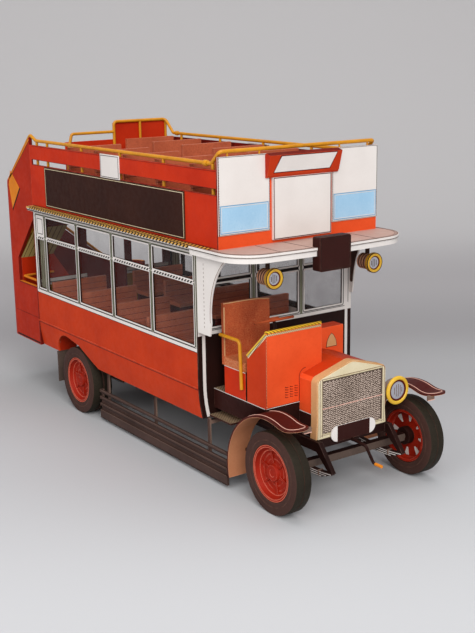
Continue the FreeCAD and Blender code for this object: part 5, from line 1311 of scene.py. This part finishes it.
y = SALOON_END_Y - 0.5 - WIRE
high_z = DECK_Z + 24.2 + WIRE
low_z = DECK_Z + 21.5
end_x = span("upper_rear_panel")[0].x + WIRE
low_path = [(end_x, y, DECK_Z + 0.02), (end_x, y, low_z - 6.0), (end_x + 1.6, y, low_z),
            (RAISED_X, y, low_z)]
high_path = [(RAISED_X, y, DECK_Z + 0.02), (RAISED_X, y, high_z), (x, y, high_z),
             (x, SALOON_END_Y - 5.9, RAIL_Z), (x, nearside_end_y, RAIL_Z)]
wires("rear_handrail_wire", "handrail_rear",
      wire("rear_low", low_path, WIRE_THIN, 1.0, GOLD_PAINT),
      wire("rear_high", high_path, WIRE_THIN, 1.2, GOLD_PAINT),
      post(14.3, y, high_z), post(x, y, high_z), sleeve(x, nearside_end_y))

# ---------------------------------------------------------------- platform and stairs
CASING_BREAK_Z = 39.2   # the casing's lower part is red, its upper part slatted
CREASE_Z = 25.1
# the stair panel's outer faces take the darker red copy: painted shade towards the rear
recut("stair_panel", RED_SHADED, lambda n, c: RED_SHADED if n.x < -0.25 or n.y > 0.25 else
      ORANGE if n.z > 0.5 else RED_DARK)
recut("stair_casing", RED_UPPER, lambda n, c: RED_UPPER if c.z < CASING_BREAK_Z else CEILING)
recut("platform_floor", RED, lambda n, c: FLOOR if n.z > 0.5 else RED if abs(n.z) < 0.5 else BLACK)
recut("staircase", GOLD, lambda n, c: FLOOR if n.z > 0.5 else GOLD if n.z > -0.5 else RED_DARK)
low, high = span("platform_rail")
x, z = low.x + 0.4, high.z - 0.4
path = [(x, SALOON_END_Y, z), (x, high.y - 0.4, z), (high.x, high.y - 0.4, z)]
wires("platform_hand_wire", "platform_rail", wire("platform_rail", path, 0.4, 0.8, ORANGE))

DIAMOND_Y, DIAMOND_Z = SALOON_END_Y + 15.6, 66.5
x = -UPPER
panel_print = Model()
panel_print.prism(ORANGE, [(DIAMOND_Y - 6.2, DIAMOND_Z), (DIAMOND_Y, DIAMOND_Z - 7.2),
                           (DIAMOND_Y + 2.0, DIAMOND_Z + 0.4), (DIAMOND_Y + 0.2, DIAMOND_Z + 5.2)],
                  "X", x, x - RELIEF)
panel_print.prism(INK, [(DIAMOND_Y - 7.0, DIAMOND_Z), (DIAMOND_Y, DIAMOND_Z - 8.1),
                        (DIAMOND_Y, DIAMOND_Z - 7.2), (DIAMOND_Y - 6.2, DIAMOND_Z)],
                  "X", x, x - RELIEF)
edge_path = [(SALOON_END_Y + 0.3, SHELL_TOP_Z - 0.25 - SLOPE * 0.3), (CORNER_Y, CORNER_Z - 0.25)]
for material, inner, outer in ((ORANGE, 0.0, -0.5), (INK, -0.5, -0.66)):
    panel_print.ribbon(material, edge_path, "X", inner, outer, x, x - RELIEF, smooth=False)
for material, y0, y1, z0, z1 in (
        (RED_DARK, SALOON_END_Y + 0.1, SALOON_END_Y + 13.7, DASH_TOP_Z - 0.35, DASH_TOP_Z),
        (RED_DARK, SALOON_END_Y + 0.02, SALOON_END_Y + 0.2, SKIRT_Z + 0.4, DASH_TOP_Z),
        (RED_DARK, SALOON_END_Y + 0.2, CORNER_Y, CREASE_Z, CREASE_Z + LINE),
        (INK, SALOON_END_Y + 0.2, CORNER_Y, SKIRT_Z, SKIRT_Z + 0.5)):
    panel_print.side(material, x, y0, y1, z0, z1)
panel_print.done("stair_panel_print", slot="red_card")

# ---------------------------------------------------------------- cab
DASH_LOW, DASH_HIGH = span("cab_dash")
DASH_Y = DASH_LOW.y
CAB_X = DASH_LOW.x
CAB_FLOOR_Z = DASH_LOW.z
CAB_TOP_Z = DASH_HIGH.z
DASH_END_X = DASH_HIGH.x
SEAT_LOW, SEAT_HIGH = span("driver_seat")
BOX_LOW, BOX_HIGH = span("seat_box")
CUSHION = 2.2
CUSHION_END_X = -10.6
ARCH_SIDE_X, ARCH_TOP_Z, ARCH_R = -10.6, 32.6, 2.0      # the bonnet's shadow on the dash
LOUVRE_PITCH = (1.45, 0.62)


def cab_face(normal, centre):
    """The dash front takes the lighter red copy, painted light from the front; its wing keeps the
    body red, and the inside is bare black.
    """
    if normal.y < -0.6 and centre.y < DASH_Y + 0.2:
        return RED_LIT
    if normal.x < -0.6:
        return RED
    return BLACK if normal.y > 0.3 or normal.x > 0.6 else RED_DARK


recut("cab_dash", RED_LIT, cab_face, 0.05)
recut("cab_floor", BLACK, lambda n, c: TREAD_PLATE if n.z > 0.6 and c.z > CAB_FLOOR_Z - 0.2
      else BROWN if n.x < -0.6 else KRAFT if n.z < -0.2 else BLACK)
recut("seat_box", RED_UPPER, lambda n, c: RED_UPPER if n.x < -0.5 else BROWN, 0.05)
recut("cab_step", TREAD_PLATE, lambda n, c: TREAD_PLATE if n.z > 0.5 else BROWN, 0.04)

# the driver's seat is a folded card box with a crowned back, both printed like hide
seat = Model()
back_y, top_z = SEAT_HIGH.y - 1.0, SEAT_HIGH.z
x0, x1 = SEAT_LOW.x, DASH_END_X - 2.8
crown = [(x0 + (x1 - x0) * i / 10.0, top_z - 0.5 * max(i / 5.0 - 0.9, 0.0) ** 2)
         for i in range(11)]
seat.prism(HIDE, [(x0, BOX_HIGH.z)] + crown + [(x1, BOX_HIGH.z)], "Y", back_y, SEAT_HIGH.y)
seat.ribbon(TAN, crown, "Y", -0.2, 0.05, back_y - RELIEF, back_y, smooth=False)
seat.front(TAN, x0, x0 + 0.35, back_y, BOX_HIGH.z + CUSHION, top_z - 1.0)
cushion = rounded_box(SEAT_LOW.x, CUSHION_END_X, BOX_LOW.y + 0.5, back_y, 0.5)
seat.prism(HIDE_SIDE, cushion, "Z", BOX_HIGH.z, BOX_HIGH.z + CUSHION)
seat.done("driver_seat_card", slot="brown_card", replaces=("driver_seat",), bevel=0.12)
seat_print = Model()
for material, y0, y1, z0, z1, layers in (
        (HIDE_SIDE, BOX_LOW.y + 0.5, BOX_HIGH.y, BOX_HIGH.z, BOX_HIGH.z + 2.1, 1),
        (WHITE, BOX_LOW.y + 0.1, BOX_HIGH.y, BOX_HIGH.z - 0.15, BOX_HIGH.z, 2),
        (WHITE, DASH_Y + 0.6, BULKHEAD_Y, CAB_FLOOR_Z - 0.16, CAB_FLOOR_Z - 0.02, 1)):
    seat_print.block(material, CAB_X - layers * RELIEF, CAB_X, y0, y1, z0, z1)
seat_print.done("seat_side_print", slot="red_card")

# rope-twist beading along the dash's top, and printed trim down its wing
rope = Model()
rope.lathe(ROPE, [(0.0, 0.0), (0.36, 0.02), (0.42, 0.12), (0.42, 16.9), (0.36, 17.0),
                  (0.0, 17.02)], "X", (CAB_X + 0.05, DASH_Y + 0.3, CAB_TOP_Z - 0.1), 16)
rope.done("dash_beading", slot="painted_wire")
trim_path = [(DASH_Y + 0.2, CAB_TOP_Z - 0.2), (DASH_HIGH.y, CAB_TOP_Z - 7.15)]
wing_print = Model()
for material, inner, outer, x0, x1 in ((YELLOW, 0.12, -0.3, CAB_X - 0.1, CAB_X + 0.4),
                                       (INK, -0.3, -0.42, CAB_X - 0.06, CAB_X),
                                       (CREAM, -0.42, -0.58, CAB_X - RELIEF, CAB_X),
                                       (DASHED, -0.58, -0.9, CAB_X - RELIEF, CAB_X)):
    wing_print.ribbon(material, trim_path, "X", inner, outer, x0, x1, smooth=False)
wing_print.done("wing_trim", slot="painted_wire")
dash_print = Model()
for material, x0, x1, z0, z1, lift in (
        (DASHED, CAB_X + 0.2, DASH_END_X - 0.2, CAB_TOP_Z - 0.95, CAB_TOP_Z - 0.5, RELIEF),
        (RED_DARK, CAB_X + 0.02, CAB_X + 0.16, CAB_FLOOR_Z, CAB_TOP_Z - 0.6, 0.02),
        (WHITE, CAB_X + 0.1, DASH_END_X, CAB_FLOOR_Z, CAB_FLOOR_Z + 0.14, RELIEF),
        (INK, CAB_X + 0.1, DASH_END_X, CAB_FLOOR_Z + 0.14, CAB_FLOOR_Z + 0.24, RELIEF)):
    dash_print.front(material, x0, x1, DASH_Y, z0, z1, lift)
bend_z = ARCH_TOP_Z - ARCH_R
bonnet_arch = [(ARCH_SIDE_X, CAB_FLOOR_Z), (ARCH_SIDE_X, bend_z)]
bonnet_arch += arc((ARCH_SIDE_X + ARCH_R, bend_z), ARCH_R, 180.0, 90.0, 8)
dash_print.ribbon(RED_DARK, bonnet_arch, "Y", 0.0, 0.16, DASH_Y - 0.02, DASH_Y, smooth=False)
dash_print.done("dash_print", slot="red_card")
y = DASH_Y - 0.02
louvres = []
for k in range(3):
    for name, x, z, size, turn, seed in (
            ("louvres", -14.5, 1.9, (0.85, 0.05, 0.16), 8.0, 3),
            ("louvre_ends", -14.92, 2.02, (0.16, 0.05, 0.3), 25.0, 8)):
        louvres.append(row(name, (x + LOUVRE_PITCH[0] * k, y, CAB_FLOOR_Z + z),
                           (0.0, 0.0, LOUVRE_PITCH[1]), 5, size, RED_DARK, (0.0, turn, 0.0),
                           0.04, seed + k))
dots = row("crease_dots", (CAB_X + 0.12, y, CAB_FLOOR_Z + 0.6), (0.0, 0.0, 0.75), 24,
           (0.1, 0.06, 0.34), TAN)
joined("dash_louvres", louvres + [dots])

# steering wheel: a thin disc of card with four spokes, on its column
TILT = math.radians(16.6)
hub = Vector((-12.4, DASH_Y + 7.8, CAB_TOP_Z + 0.4))
disc = Model()
disc.lathe(HANDWHEEL, [(4.35, -0.18), (4.6, -0.3), (4.9, -0.3), (5.05, -0.1), (5.05, 0.1),
                       (4.9, 0.3), (4.6, 0.3), (4.35, 0.18)], "Z", (0, 0, 0), 64)
disc.lathe(HANDWHEEL, [(0.0, -0.2), (1.3, -0.2), (1.45, 0.0), (1.4, 0.6), (1.25, 0.75),
                       (0.0, 0.78)], "Z", (0, 0, 0), 32)
for turn in range(4):
    spin = Matrix.Rotation(math.radians(90.0 * turn), 2)
    spoke = [tuple(spin @ Vector(p)) for p in ((0.9, 0.42), (4.5, 0.28), (4.5, -0.28),
                                               (0.9, -0.42))]
    disc.prism(HANDWHEEL, spoke, "Z", -0.14, 0.14)
disc.bm.transform(Matrix.Translation(spot(*hub)) @ Matrix.Rotation(-TILT, 4, "X")
                  @ Matrix.Translation((0.0, -AXLE_Y, 0.0)))
column = wire("column", [(hub.x, DASH_Y + 3.2, CAB_FLOOR_Z), tuple(hub)], 0.42, 0.1, BLACK)
joined("steering_disc", [disc.mesh("steering"), column],
       replaces=("steering_wheel",))
low, high = span("cab_rail")
x, z = low.x + 0.45, high.z - 0.45
path = [(x, high.y, z), (x, BOX_LOW.y + 1.7, z), (x, BOX_LOW.y + 1.1, low.z)]
wires("cab_rail_wire", "cab_rail", wire("cab_rail", path, 0.44, 1.2, GOLD_PAINT))

# ---------------------------------------------------------------- bonnet, radiator and front
BONNET_LOW, BONNET_HIGH = span("bonnet")
RAD_LOW, RAD_HIGH = span("radiator")
ARCH_X = 8.4            # middle of the small arch on the scuttle
ARCH_FOOT_Z = 32.9
# the bonnet's sides and the scuttle's faces below its top take the lighter red copy: painted light
# from the front
recut("bonnet", RED, lambda n, c: RED_LIT if abs(n.x) > 0.7 else RED, 0.06)
recut("scuttle", RED, lambda n, c: RED if n.z > 0.5 else RED_LIT, 0.08)
recut("engine_valance", BROWN, None, 0.05)


def pointed(foot_z, half, tall):
    """A pointed arch printed on the scuttle, standing on its foot."""
    right = [(ARCH_X + half, foot_z), (ARCH_X + 0.85 * half, foot_z + 0.45 * tall),
             (ARCH_X + 0.45 * half, foot_z + 0.8 * tall)]
    left = [(2.0 * ARCH_X - x, z) for x, z in right[::-1]]
    return right + [(ARCH_X, foot_z + tall)] + left


detail = Model()
curve = [(y + 8.0, z) for y, z in arc((9.2, 21.6), 4.6, 205.0, 262.0, 8)]
for sign, end_y in ((-1.0, 5.3), (1.0, BONNET_HIGH.y)):
    x = sign * BONNET_HIGH.x
    detail.side(WHITE, x, BONNET_LOW.y + 0.2, end_y, BONNET_LOW.z - 0.14, BONNET_LOW.z)
    detail.ribbon(WHITE, curve, "X", 0.0, 0.13, x, x + sign * RELIEF, smooth=False)
y = span("scuttle")[0].y
detail.prism(INK, pointed(ARCH_FOOT_Z - 0.14, 1.82, 3.7), "Y", y - RELIEF, y)
detail.prism(TAN, pointed(ARCH_FOOT_Z, 1.65, 3.4), "Y", y - 2 * RELIEF, y)
detail.done("bonnet_lines", slot="red_card")
bonnet_louvres = row("bonnet_louvres", (BONNET_HIGH.x + 0.02, 5.0, BONNET_LOW.z + 2.6),
                     (0.0, 1.5, 0.0), 8, (0.06, 0.22, 4.2), RED_DARK)
joined("bonnet_side_louvres", [bonnet_louvres])


def ridged(half, foot_half, foot_z, corner_z, peak_z, chamfer):
    """The radiator's outline: upright sides under a shallow ridge with rounded corners."""
    shoulder = arc((half - chamfer, corner_z - chamfer), chamfer, 0.0, 75.0, 5)
    right = [(foot_half, foot_z), (half, foot_z + 4.0)] + shoulder + [(0.8, peak_z - 0.08),
                                                                      (0.32, peak_z)]
    return right + [(-x, z) for x, z in reversed(right)]


half = RAD_HIGH.x - 0.3
corner = RAD_HIGH.z - 2.6
core_top = corner - 0.9
core_foot = RAD_LOW.z + 1.3
core_half = half - 1.5
core_middle = (core_top + core_foot) / 2.0 - 0.4
y = RAD_LOW.y
shell = Model()
shell.prism(TAN, ridged(half, RAD_HIGH.x, RAD_LOW.z, corner, RAD_HIGH.z, 1.7), "Y", y + 0.55,
            RAD_HIGH.y)
shell.prism(CREAM, ridged(half - 0.35, RAD_HIGH.x - 0.35, RAD_LOW.z + 0.1, corner - 0.3,
                          RAD_HIGH.z - 0.35, 1.5), "Y", y + 0.2, y + 0.55)
shell.block(CORE, -core_half, core_half, y + 0.1, y + 0.2, core_foot, core_top)
for material, out, z, tall, y0 in ((PINK_LINE, 0.1, core_middle, 0.2, y),
                                   (CREAM, 0.1, core_top + 0.12, 0.2, y),
                                   (CREAM, 0.1, core_foot - 0.3, 0.2, y),
                                   (TAUPE, 0.5, core_top + 0.4, 0.12, y + 0.14),
                                   (TAUPE, 0.5, core_foot - 0.45, 0.12, y + 0.14)):
    shell.block(material, -core_half - out, core_half + out, y0, y + 0.2, z, z + tall)
for sign in SIDES:
    for x in (core_half + 0.1, core_half + 0.75):
        shell.block(TAUPE, sign * x, sign * (x + 0.12), y + 0.14, y + 0.2, RAD_LOW.z + 0.5,
                    core_top + 0.4)
shell.done("radiator_shell", slot="radiator_card", replaces=("radiator",), bevel=0.1)

CELL = 0.56             # the core's woven cells, drawn a little coarse so that they show
weave = []
for k in range(int(2.0 * core_half / CELL)):
    start = (-core_half + (k + 0.5) * CELL, y + 0.07, core_foot + CELL * (0.5 + 0.5 * (k % 2)))
    weave.append(row("core_columns", start, (0.0, 0.0, CELL), int((core_top - core_foot) / CELL),
                     (0.46, 0.1, 0.24), CORE_PALE, (0.0, 26.0 * (-1) ** k, 0.0), 0.07, 40 + k))
joined("radiator_core", weave)

low, high = span("number_plate")
z, r = (low.z + high.z) / 2.0, (high.z - low.z) / 2.0
reach = high.x - r
plate = Model()
plate.prism(WHITE, arc((reach, z), r, -90.0, 90.0, 16) + arc((-reach, z), r, 90.0, 270.0, 16),
            "Y", low.y + RELIEF, high.y)
plate.front(BROWN, -reach, reach, low.y + RELIEF, z - r, z + r)
plate.done("number_plate_blank", slot="black_card", replaces=("number_plate",), bevel=0.05)

HEADLAMP_R = 3.7
low, high = span("headlamp")
x, y, z = high.x - HEADLAMP_R, low.y, high.z - HEADLAMP_R
lamp = Model()
for material, profile, steps in (
        (STEEL, [(0.0, 0.5), (3.2, 0.6), (3.2, 1.2), (3.05, 1.7), (2.5, 3.0), (1.75, 3.9),
                 (1.6, 4.0), (0.0, 4.0)], 48),
        (YELLOW, [(2.7, 0.35), (2.8, 0.12), (2.95, 0.0), (3.25, 0.0), (3.35, 0.08), (3.5, 0.08),
                  (3.7, 0.3), (3.7, 0.65), (3.55, 0.8), (2.7, 0.8)], 64),
        (HUB_DARK, [(2.3, 0.3), (2.4, 0.2), (2.75, 0.2), (2.75, 0.6), (2.3, 0.6)], 48),
        (LENS, [(0.0, 0.28), (1.4, 0.32), (2.35, 0.42), (2.35, 0.6), (0.0, 0.6)], 48)):
    lamp.lathe(material, profile, "Y", (x, y, z), steps)
for dx, tall in ((-1.1, 0.9), (-0.45, 1.5), (0.2, 1.6), (0.85, 1.2), (1.35, 0.6)):
    lamp.block(TAUPE, x + dx - 0.08, x + dx + 0.08, y + 0.26, y + 0.4, z - tall, z + tall)
stay_x, stay_y = BONNET_HIGH.x, BONNET_LOW.y + 0.1
lamp.block(TAN_BAND, stay_x, x - 1.2, stay_y, stay_y + 0.9, z - 0.8, z + 0.8)
lamp.prism(TAN_BAND, [(stay_x, z - 6.4), (stay_x + 1.6, z - 6.4), (x - 0.5, z - 1.4),
                      (x - 1.9, z - 1.4)], "Y", stay_y, stay_y + 0.9)
lamp.done("headlamp_parts", slot="lamp_card", replaces=("headlamp",))

y, z = RAD_LOW.y, FRAME_HIGH.z - 2.0
grip_x, grip_z = 2.4, z - 5.4
crank_path = [(0.0, y, z), (0.0, y - 4.8, z - 0.4), (grip_x, y - 5.0, grip_z),
              (grip_x, y - 6.0, grip_z)]
crank = wire("crank", crank_path, 0.4, 0.7, BLACK)
grip = wire("grip", [(grip_x, y - 5.7, grip_z), (grip_x, y - 7.98, grip_z)], 0.41, 0.1, ORANGE)
joined("starting_handle_wire", [crank, grip], replaces=("starting_handle",))

# ---------------------------------------------------------------- mudguards and lifeguards
GUARD_LOW, GUARD_HIGH = span("mudguards")
GUARD_Z = WHEEL_R - 1.8
GUARD_R = WHEEL_R + 5.3
GUARD_HALF = 3.1
GUARD_FOOT = -14.0      # degrees below the level of the guard's centre
SWEEP_CENTRE = (-6.9, GUARD_Z + 23.8)
SWEEP_END = 262.0       # degrees: the nose is almost level
NOSE_Y = GUARD_LOW.y
LINE_INSET = 0.8


def guard_path(lift):
    """The mudguard's profile, lifted off the CAD's inner face, from its foot to its nose."""
    reach = math.hypot(SWEEP_CENTRE[0], SWEEP_CENTRE[1] - GUARD_Z)
    turn = math.degrees(math.atan2(SWEEP_CENTRE[1] - GUARD_Z, SWEEP_CENTRE[0]))
    crest = arc((0.0, GUARD_Z), GUARD_R + lift, GUARD_FOOT, turn, 44)
    sweep = arc(SWEEP_CENTRE, reach - GUARD_R - lift, turn + 180.0, SWEEP_END, 16)
    slope = math.tan(math.radians(SWEEP_END - 270.0))
    y, z = sweep[-1]
    nose = [(NOSE_Y - y) * math.sin(math.radians(7.5 * i)) for i in range(1, 13)]
    return crest + sweep[1:] + [(y + run, z + slope * run) for run in nose]


def nose_half(y, inset=0.0):
    """Half the mudguard's width at a distance forward, with its round nose."""
    ahead = max(NOSE_Y + GUARD_HALF - y, 0.0)
    return math.sqrt(max((GUARD_HALF - inset) ** 2 - ahead ** 2, 0.0004))


def guard_layer(model, material, middle, low, high):
    """One layer of the mudguard's card between two lifts, closed round its edge."""
    points, faces = [], []
    for (y0, z0), (y1, z1) in zip(guard_path(low), guard_path(high)):
        x0, x1 = middle - nose_half(y1), middle + nose_half(y1)
        points += [(x0, y0, z0), (x1, y0, z0), (x1, y1, z1), (x0, y1, z1)]
    last = len(points) - 4
    for a in range(0, last, 4):
        faces += [(a + k, a + (k + 1) % 4, a + 4 + (k + 1) % 4, a + 4 + k) for k in range(4)]
    faces += [(0, 1, 2, 3), tuple(last + k for k in range(4))]
    model.shell(material, points, faces, smooth=True)


guards = Model()
guard_lines = []
for sign in SIDES:
    middle = sign * (GUARD_HIGH.x - GUARD_HALF)
    guard_layer(guards, KRAFT, middle, 0.0, 0.07)
    guard_layer(guards, MAROON, middle, 0.07, 0.5)
    line = [(y, z, nose_half(y, LINE_INSET)) for y, z in guard_path(0.53)
            if y > NOSE_Y + LINE_INSET and z > GUARD_Z + 3.0]
    near = [(middle - half, y, z) for y, z, half in line]
    far = [(middle + half, y, z) for y, z, half in line]
    guard_lines.append(wire("guard_line", near + far[::-1], 0.09, 0.02, PINK_LINE))
    nose_z = guard_path(0.0)[-1][1]
    x0, x1 = middle - sign * 3.4, middle - sign * 1.2
    guards.block(TAUPE, x0, x1, NOSE_Y + 1.3, NOSE_Y + 1.8, nose_z - 1.3, nose_z)
    guards.block(PINK_LINE, x0, x1, NOSE_Y + 1.22, NOSE_Y + 1.3, nose_z - 1.3, nose_z - 1.12)
guards.done("mudguard_cards", slot="brown_card", replaces=("mudguards",), angle=40.0)
joined("mudguard_lines", guard_lines)
recut("mudguard_stays", BLACK, None, 0.05)

GUARD_INNER_X = 22.8
SLAT_HEIGHTS = ((4.8, 5.7), (6.9, 7.8), (9.0, 9.9))
recut("lifeguards", SLAT, lambda n, c: TAUPE if abs(c.x) < GUARD_INNER_X else SLAT)
low, high = span("lifeguards")
ends = (low.y + 0.6, high.y - 0.6)
slat_print = Model()
for sign in SIDES:
    x = sign * high.x
    for z0, z1 in ((low.z, low.z + 2.6),) + SLAT_HEIGHTS:
        slat_print.side(TAUPE, x, *ends, z1 - 0.12, z1 - 0.04)
        slat_print.side(INK, x, *ends, z0 + 0.08, z0 + 0.2)
    slat_print.side(SLAT, x - sign * 0.6, *ends, low.z + 2.0, 7.2, 0.1)
slat_print.done("lifeguard_lines", slot="brown_card")
recut("rear_mudflaps", SLAT, lambda n, c: CORE if n.y < -0.5 else SLAT, 0.04)

# ---------------------------------------------------------------- floor, light and camera
YAW = 0.61
PITCH = -0.239
ROLL = -0.016
CAMERA_PLACE = (-0.1677, -0.2612, 0.1076)
PAPER_HALF = 1.4
PAPER_FRONT = -0.9
BEND_FROM = 0.28        # metres behind the model where the paper starts to rise
BEND_R = 0.22
PAPER_TOP = 1.2
ahead = Vector((math.sin(YAW), math.cos(YAW), 0.0))
across = Vector((math.cos(YAW), -math.sin(YAW), 0.0))
# distance along the paper from under the model, in metres, and the grey painted there: the paper's
# own grey with painted shade, darkest just behind the model
PAPER_SHADING = ((-0.35, "D0D0D4"), (-0.12, "C6C7CA"), (-0.03, "B8B9BC"), (0.05, "ABABAD"),
         (0.11, "9C9A9C"), (0.2, "A7A4A6"), (0.34, "BBB9BA"), (0.6, "B9B7B8"))


def backdrop(name):
    """A matt paper sweep: a grey with painted shade, palest in front and deepest at the bend
    behind.
    """
    material = bpy.data.materials.new(name)
    material.use_nodes = True
    tree = material.node_tree
    tree.nodes.clear()
    coords = add_node(tree, "ShaderNodeTexCoord")
    run = add_node(tree, "ShaderNodeVectorMath",
                   {0: coords.outputs["Object"], 1: (ahead.x, ahead.y, 1.0)},
                   operation="DOT_PRODUCT")
    first, last = PAPER_SHADING[0][0], PAPER_SHADING[-1][0]
    share = add_node(tree, "ShaderNodeMapRange", {0: run.outputs["Value"], 1: first, 2: last})
    ramp = add_node(tree, "ShaderNodeValToRGB", {0: share.outputs[0]})
    ramp.color_ramp.interpolation = "EASE"
    while len(ramp.color_ramp.elements) < len(PAPER_SHADING):
        ramp.color_ramp.elements.new(0.5)
    for element, (distance, code) in zip(ramp.color_ramp.elements, PAPER_SHADING):
        element.position = (distance - first) / (last - first)
        element.color = linear(code)
    shader = add_node(tree, "ShaderNodeBsdfPrincipled",
                      {"Base Color": ramp.outputs[0], "Roughness": 0.9,
                       "Specular IOR Level": 0.05})
    add_node(tree, "ShaderNodeOutputMaterial", {"Surface": shader.outputs[0]})
    return material


SHADED_PAPER = backdrop("grey_paper_sweep_painted_shade")
sweep_bm = bmesh.new()
profile = [(PAPER_FRONT, 0.0), (BEND_FROM, 0.0)]
profile += arc((BEND_FROM, BEND_R), BEND_R, -80.0, 0.0, 8)
profile.append((BEND_FROM + BEND_R, PAPER_TOP))
rows = []
for side in (-PAPER_HALF, PAPER_HALF):
    rows.append([sweep_bm.verts.new(ahead * d + across * side + Vector((0, 0, z)))
                 for d, z in profile])
for a, b, c, d in zip(rows[0], rows[0][1:], rows[1][1:], rows[1]):
    sweep_bm.faces.new((a, b, c, d)).smooth = True
bmesh.ops.recalc_face_normals(sweep_bm, faces=sweep_bm.faces)
sweep_mesh = bpy.data.meshes.new("paper_sweep")
sweep_bm.to_mesh(sweep_mesh)
sweep_bm.free()
sweep_mesh.materials.append(SHADED_PAPER)
paper = bpy.data.objects.new("paper_sweep", sweep_mesh)
bpy.context.scene.collection.objects.link(paper)

world = bpy.data.worlds.new("soft_room")
bpy.context.scene.world = world
world.use_nodes = True
world.node_tree.nodes["Background"].inputs[0].default_value = (0.97, 0.98, 1.0, 1.0)
world.node_tree.nodes["Background"].inputs[1].default_value = 0.4


def soft_light(name, place, aim, size, power, tint=(1.0, 1.0, 1.0)):
    data = bpy.data.lights.new(name, "AREA")
    data.shape = "DISK"
    data.size = size
    data.energy = power
    data.color = tint
    lamp = bpy.data.objects.new(name, data)
    lamp.location = place
    lamp.rotation_euler = (Vector(aim) - Vector(place)).to_track_quat("-Z", "Y").to_euler()
    bpy.context.scene.collection.objects.link(lamp)


soft_light("key", (-0.36, -0.75, 0.56), (0.0, -0.02, 0.04), 0.6, 6.6, (1.0, 0.985, 0.96))
soft_light("top", (0.05, 0.0, 0.85), (0.0, 0.0, 0.03), 0.8, 2.6)
soft_light("fill", (-0.75, -0.15, 0.4), (0.0, 0.0, 0.04), 0.6, 2.0, (1.0, 0.99, 0.97))

view_ahead = Vector((math.sin(YAW) * math.cos(PITCH), math.cos(YAW) * math.cos(PITCH),
                     math.sin(PITCH)))
camera_data = bpy.data.cameras.new("camera")
camera_data.sensor_fit = "AUTO"
camera_data.sensor_width = 36.0
camera_data.lens = 61.55
camera_data.clip_start = 0.01
camera = bpy.data.objects.new("camera", camera_data)
facing = view_ahead.to_track_quat("-Z", "Y").to_matrix().to_4x4()
camera.matrix_world = (Matrix.Translation(CAMERA_PLACE) @ facing
                       @ Matrix.Rotation(ROLL, 4, "Z"))
bpy.context.scene.collection.objects.link(camera)
bpy.context.scene.camera = camera
bpy.context.scene.view_settings.view_transform = "Standard"
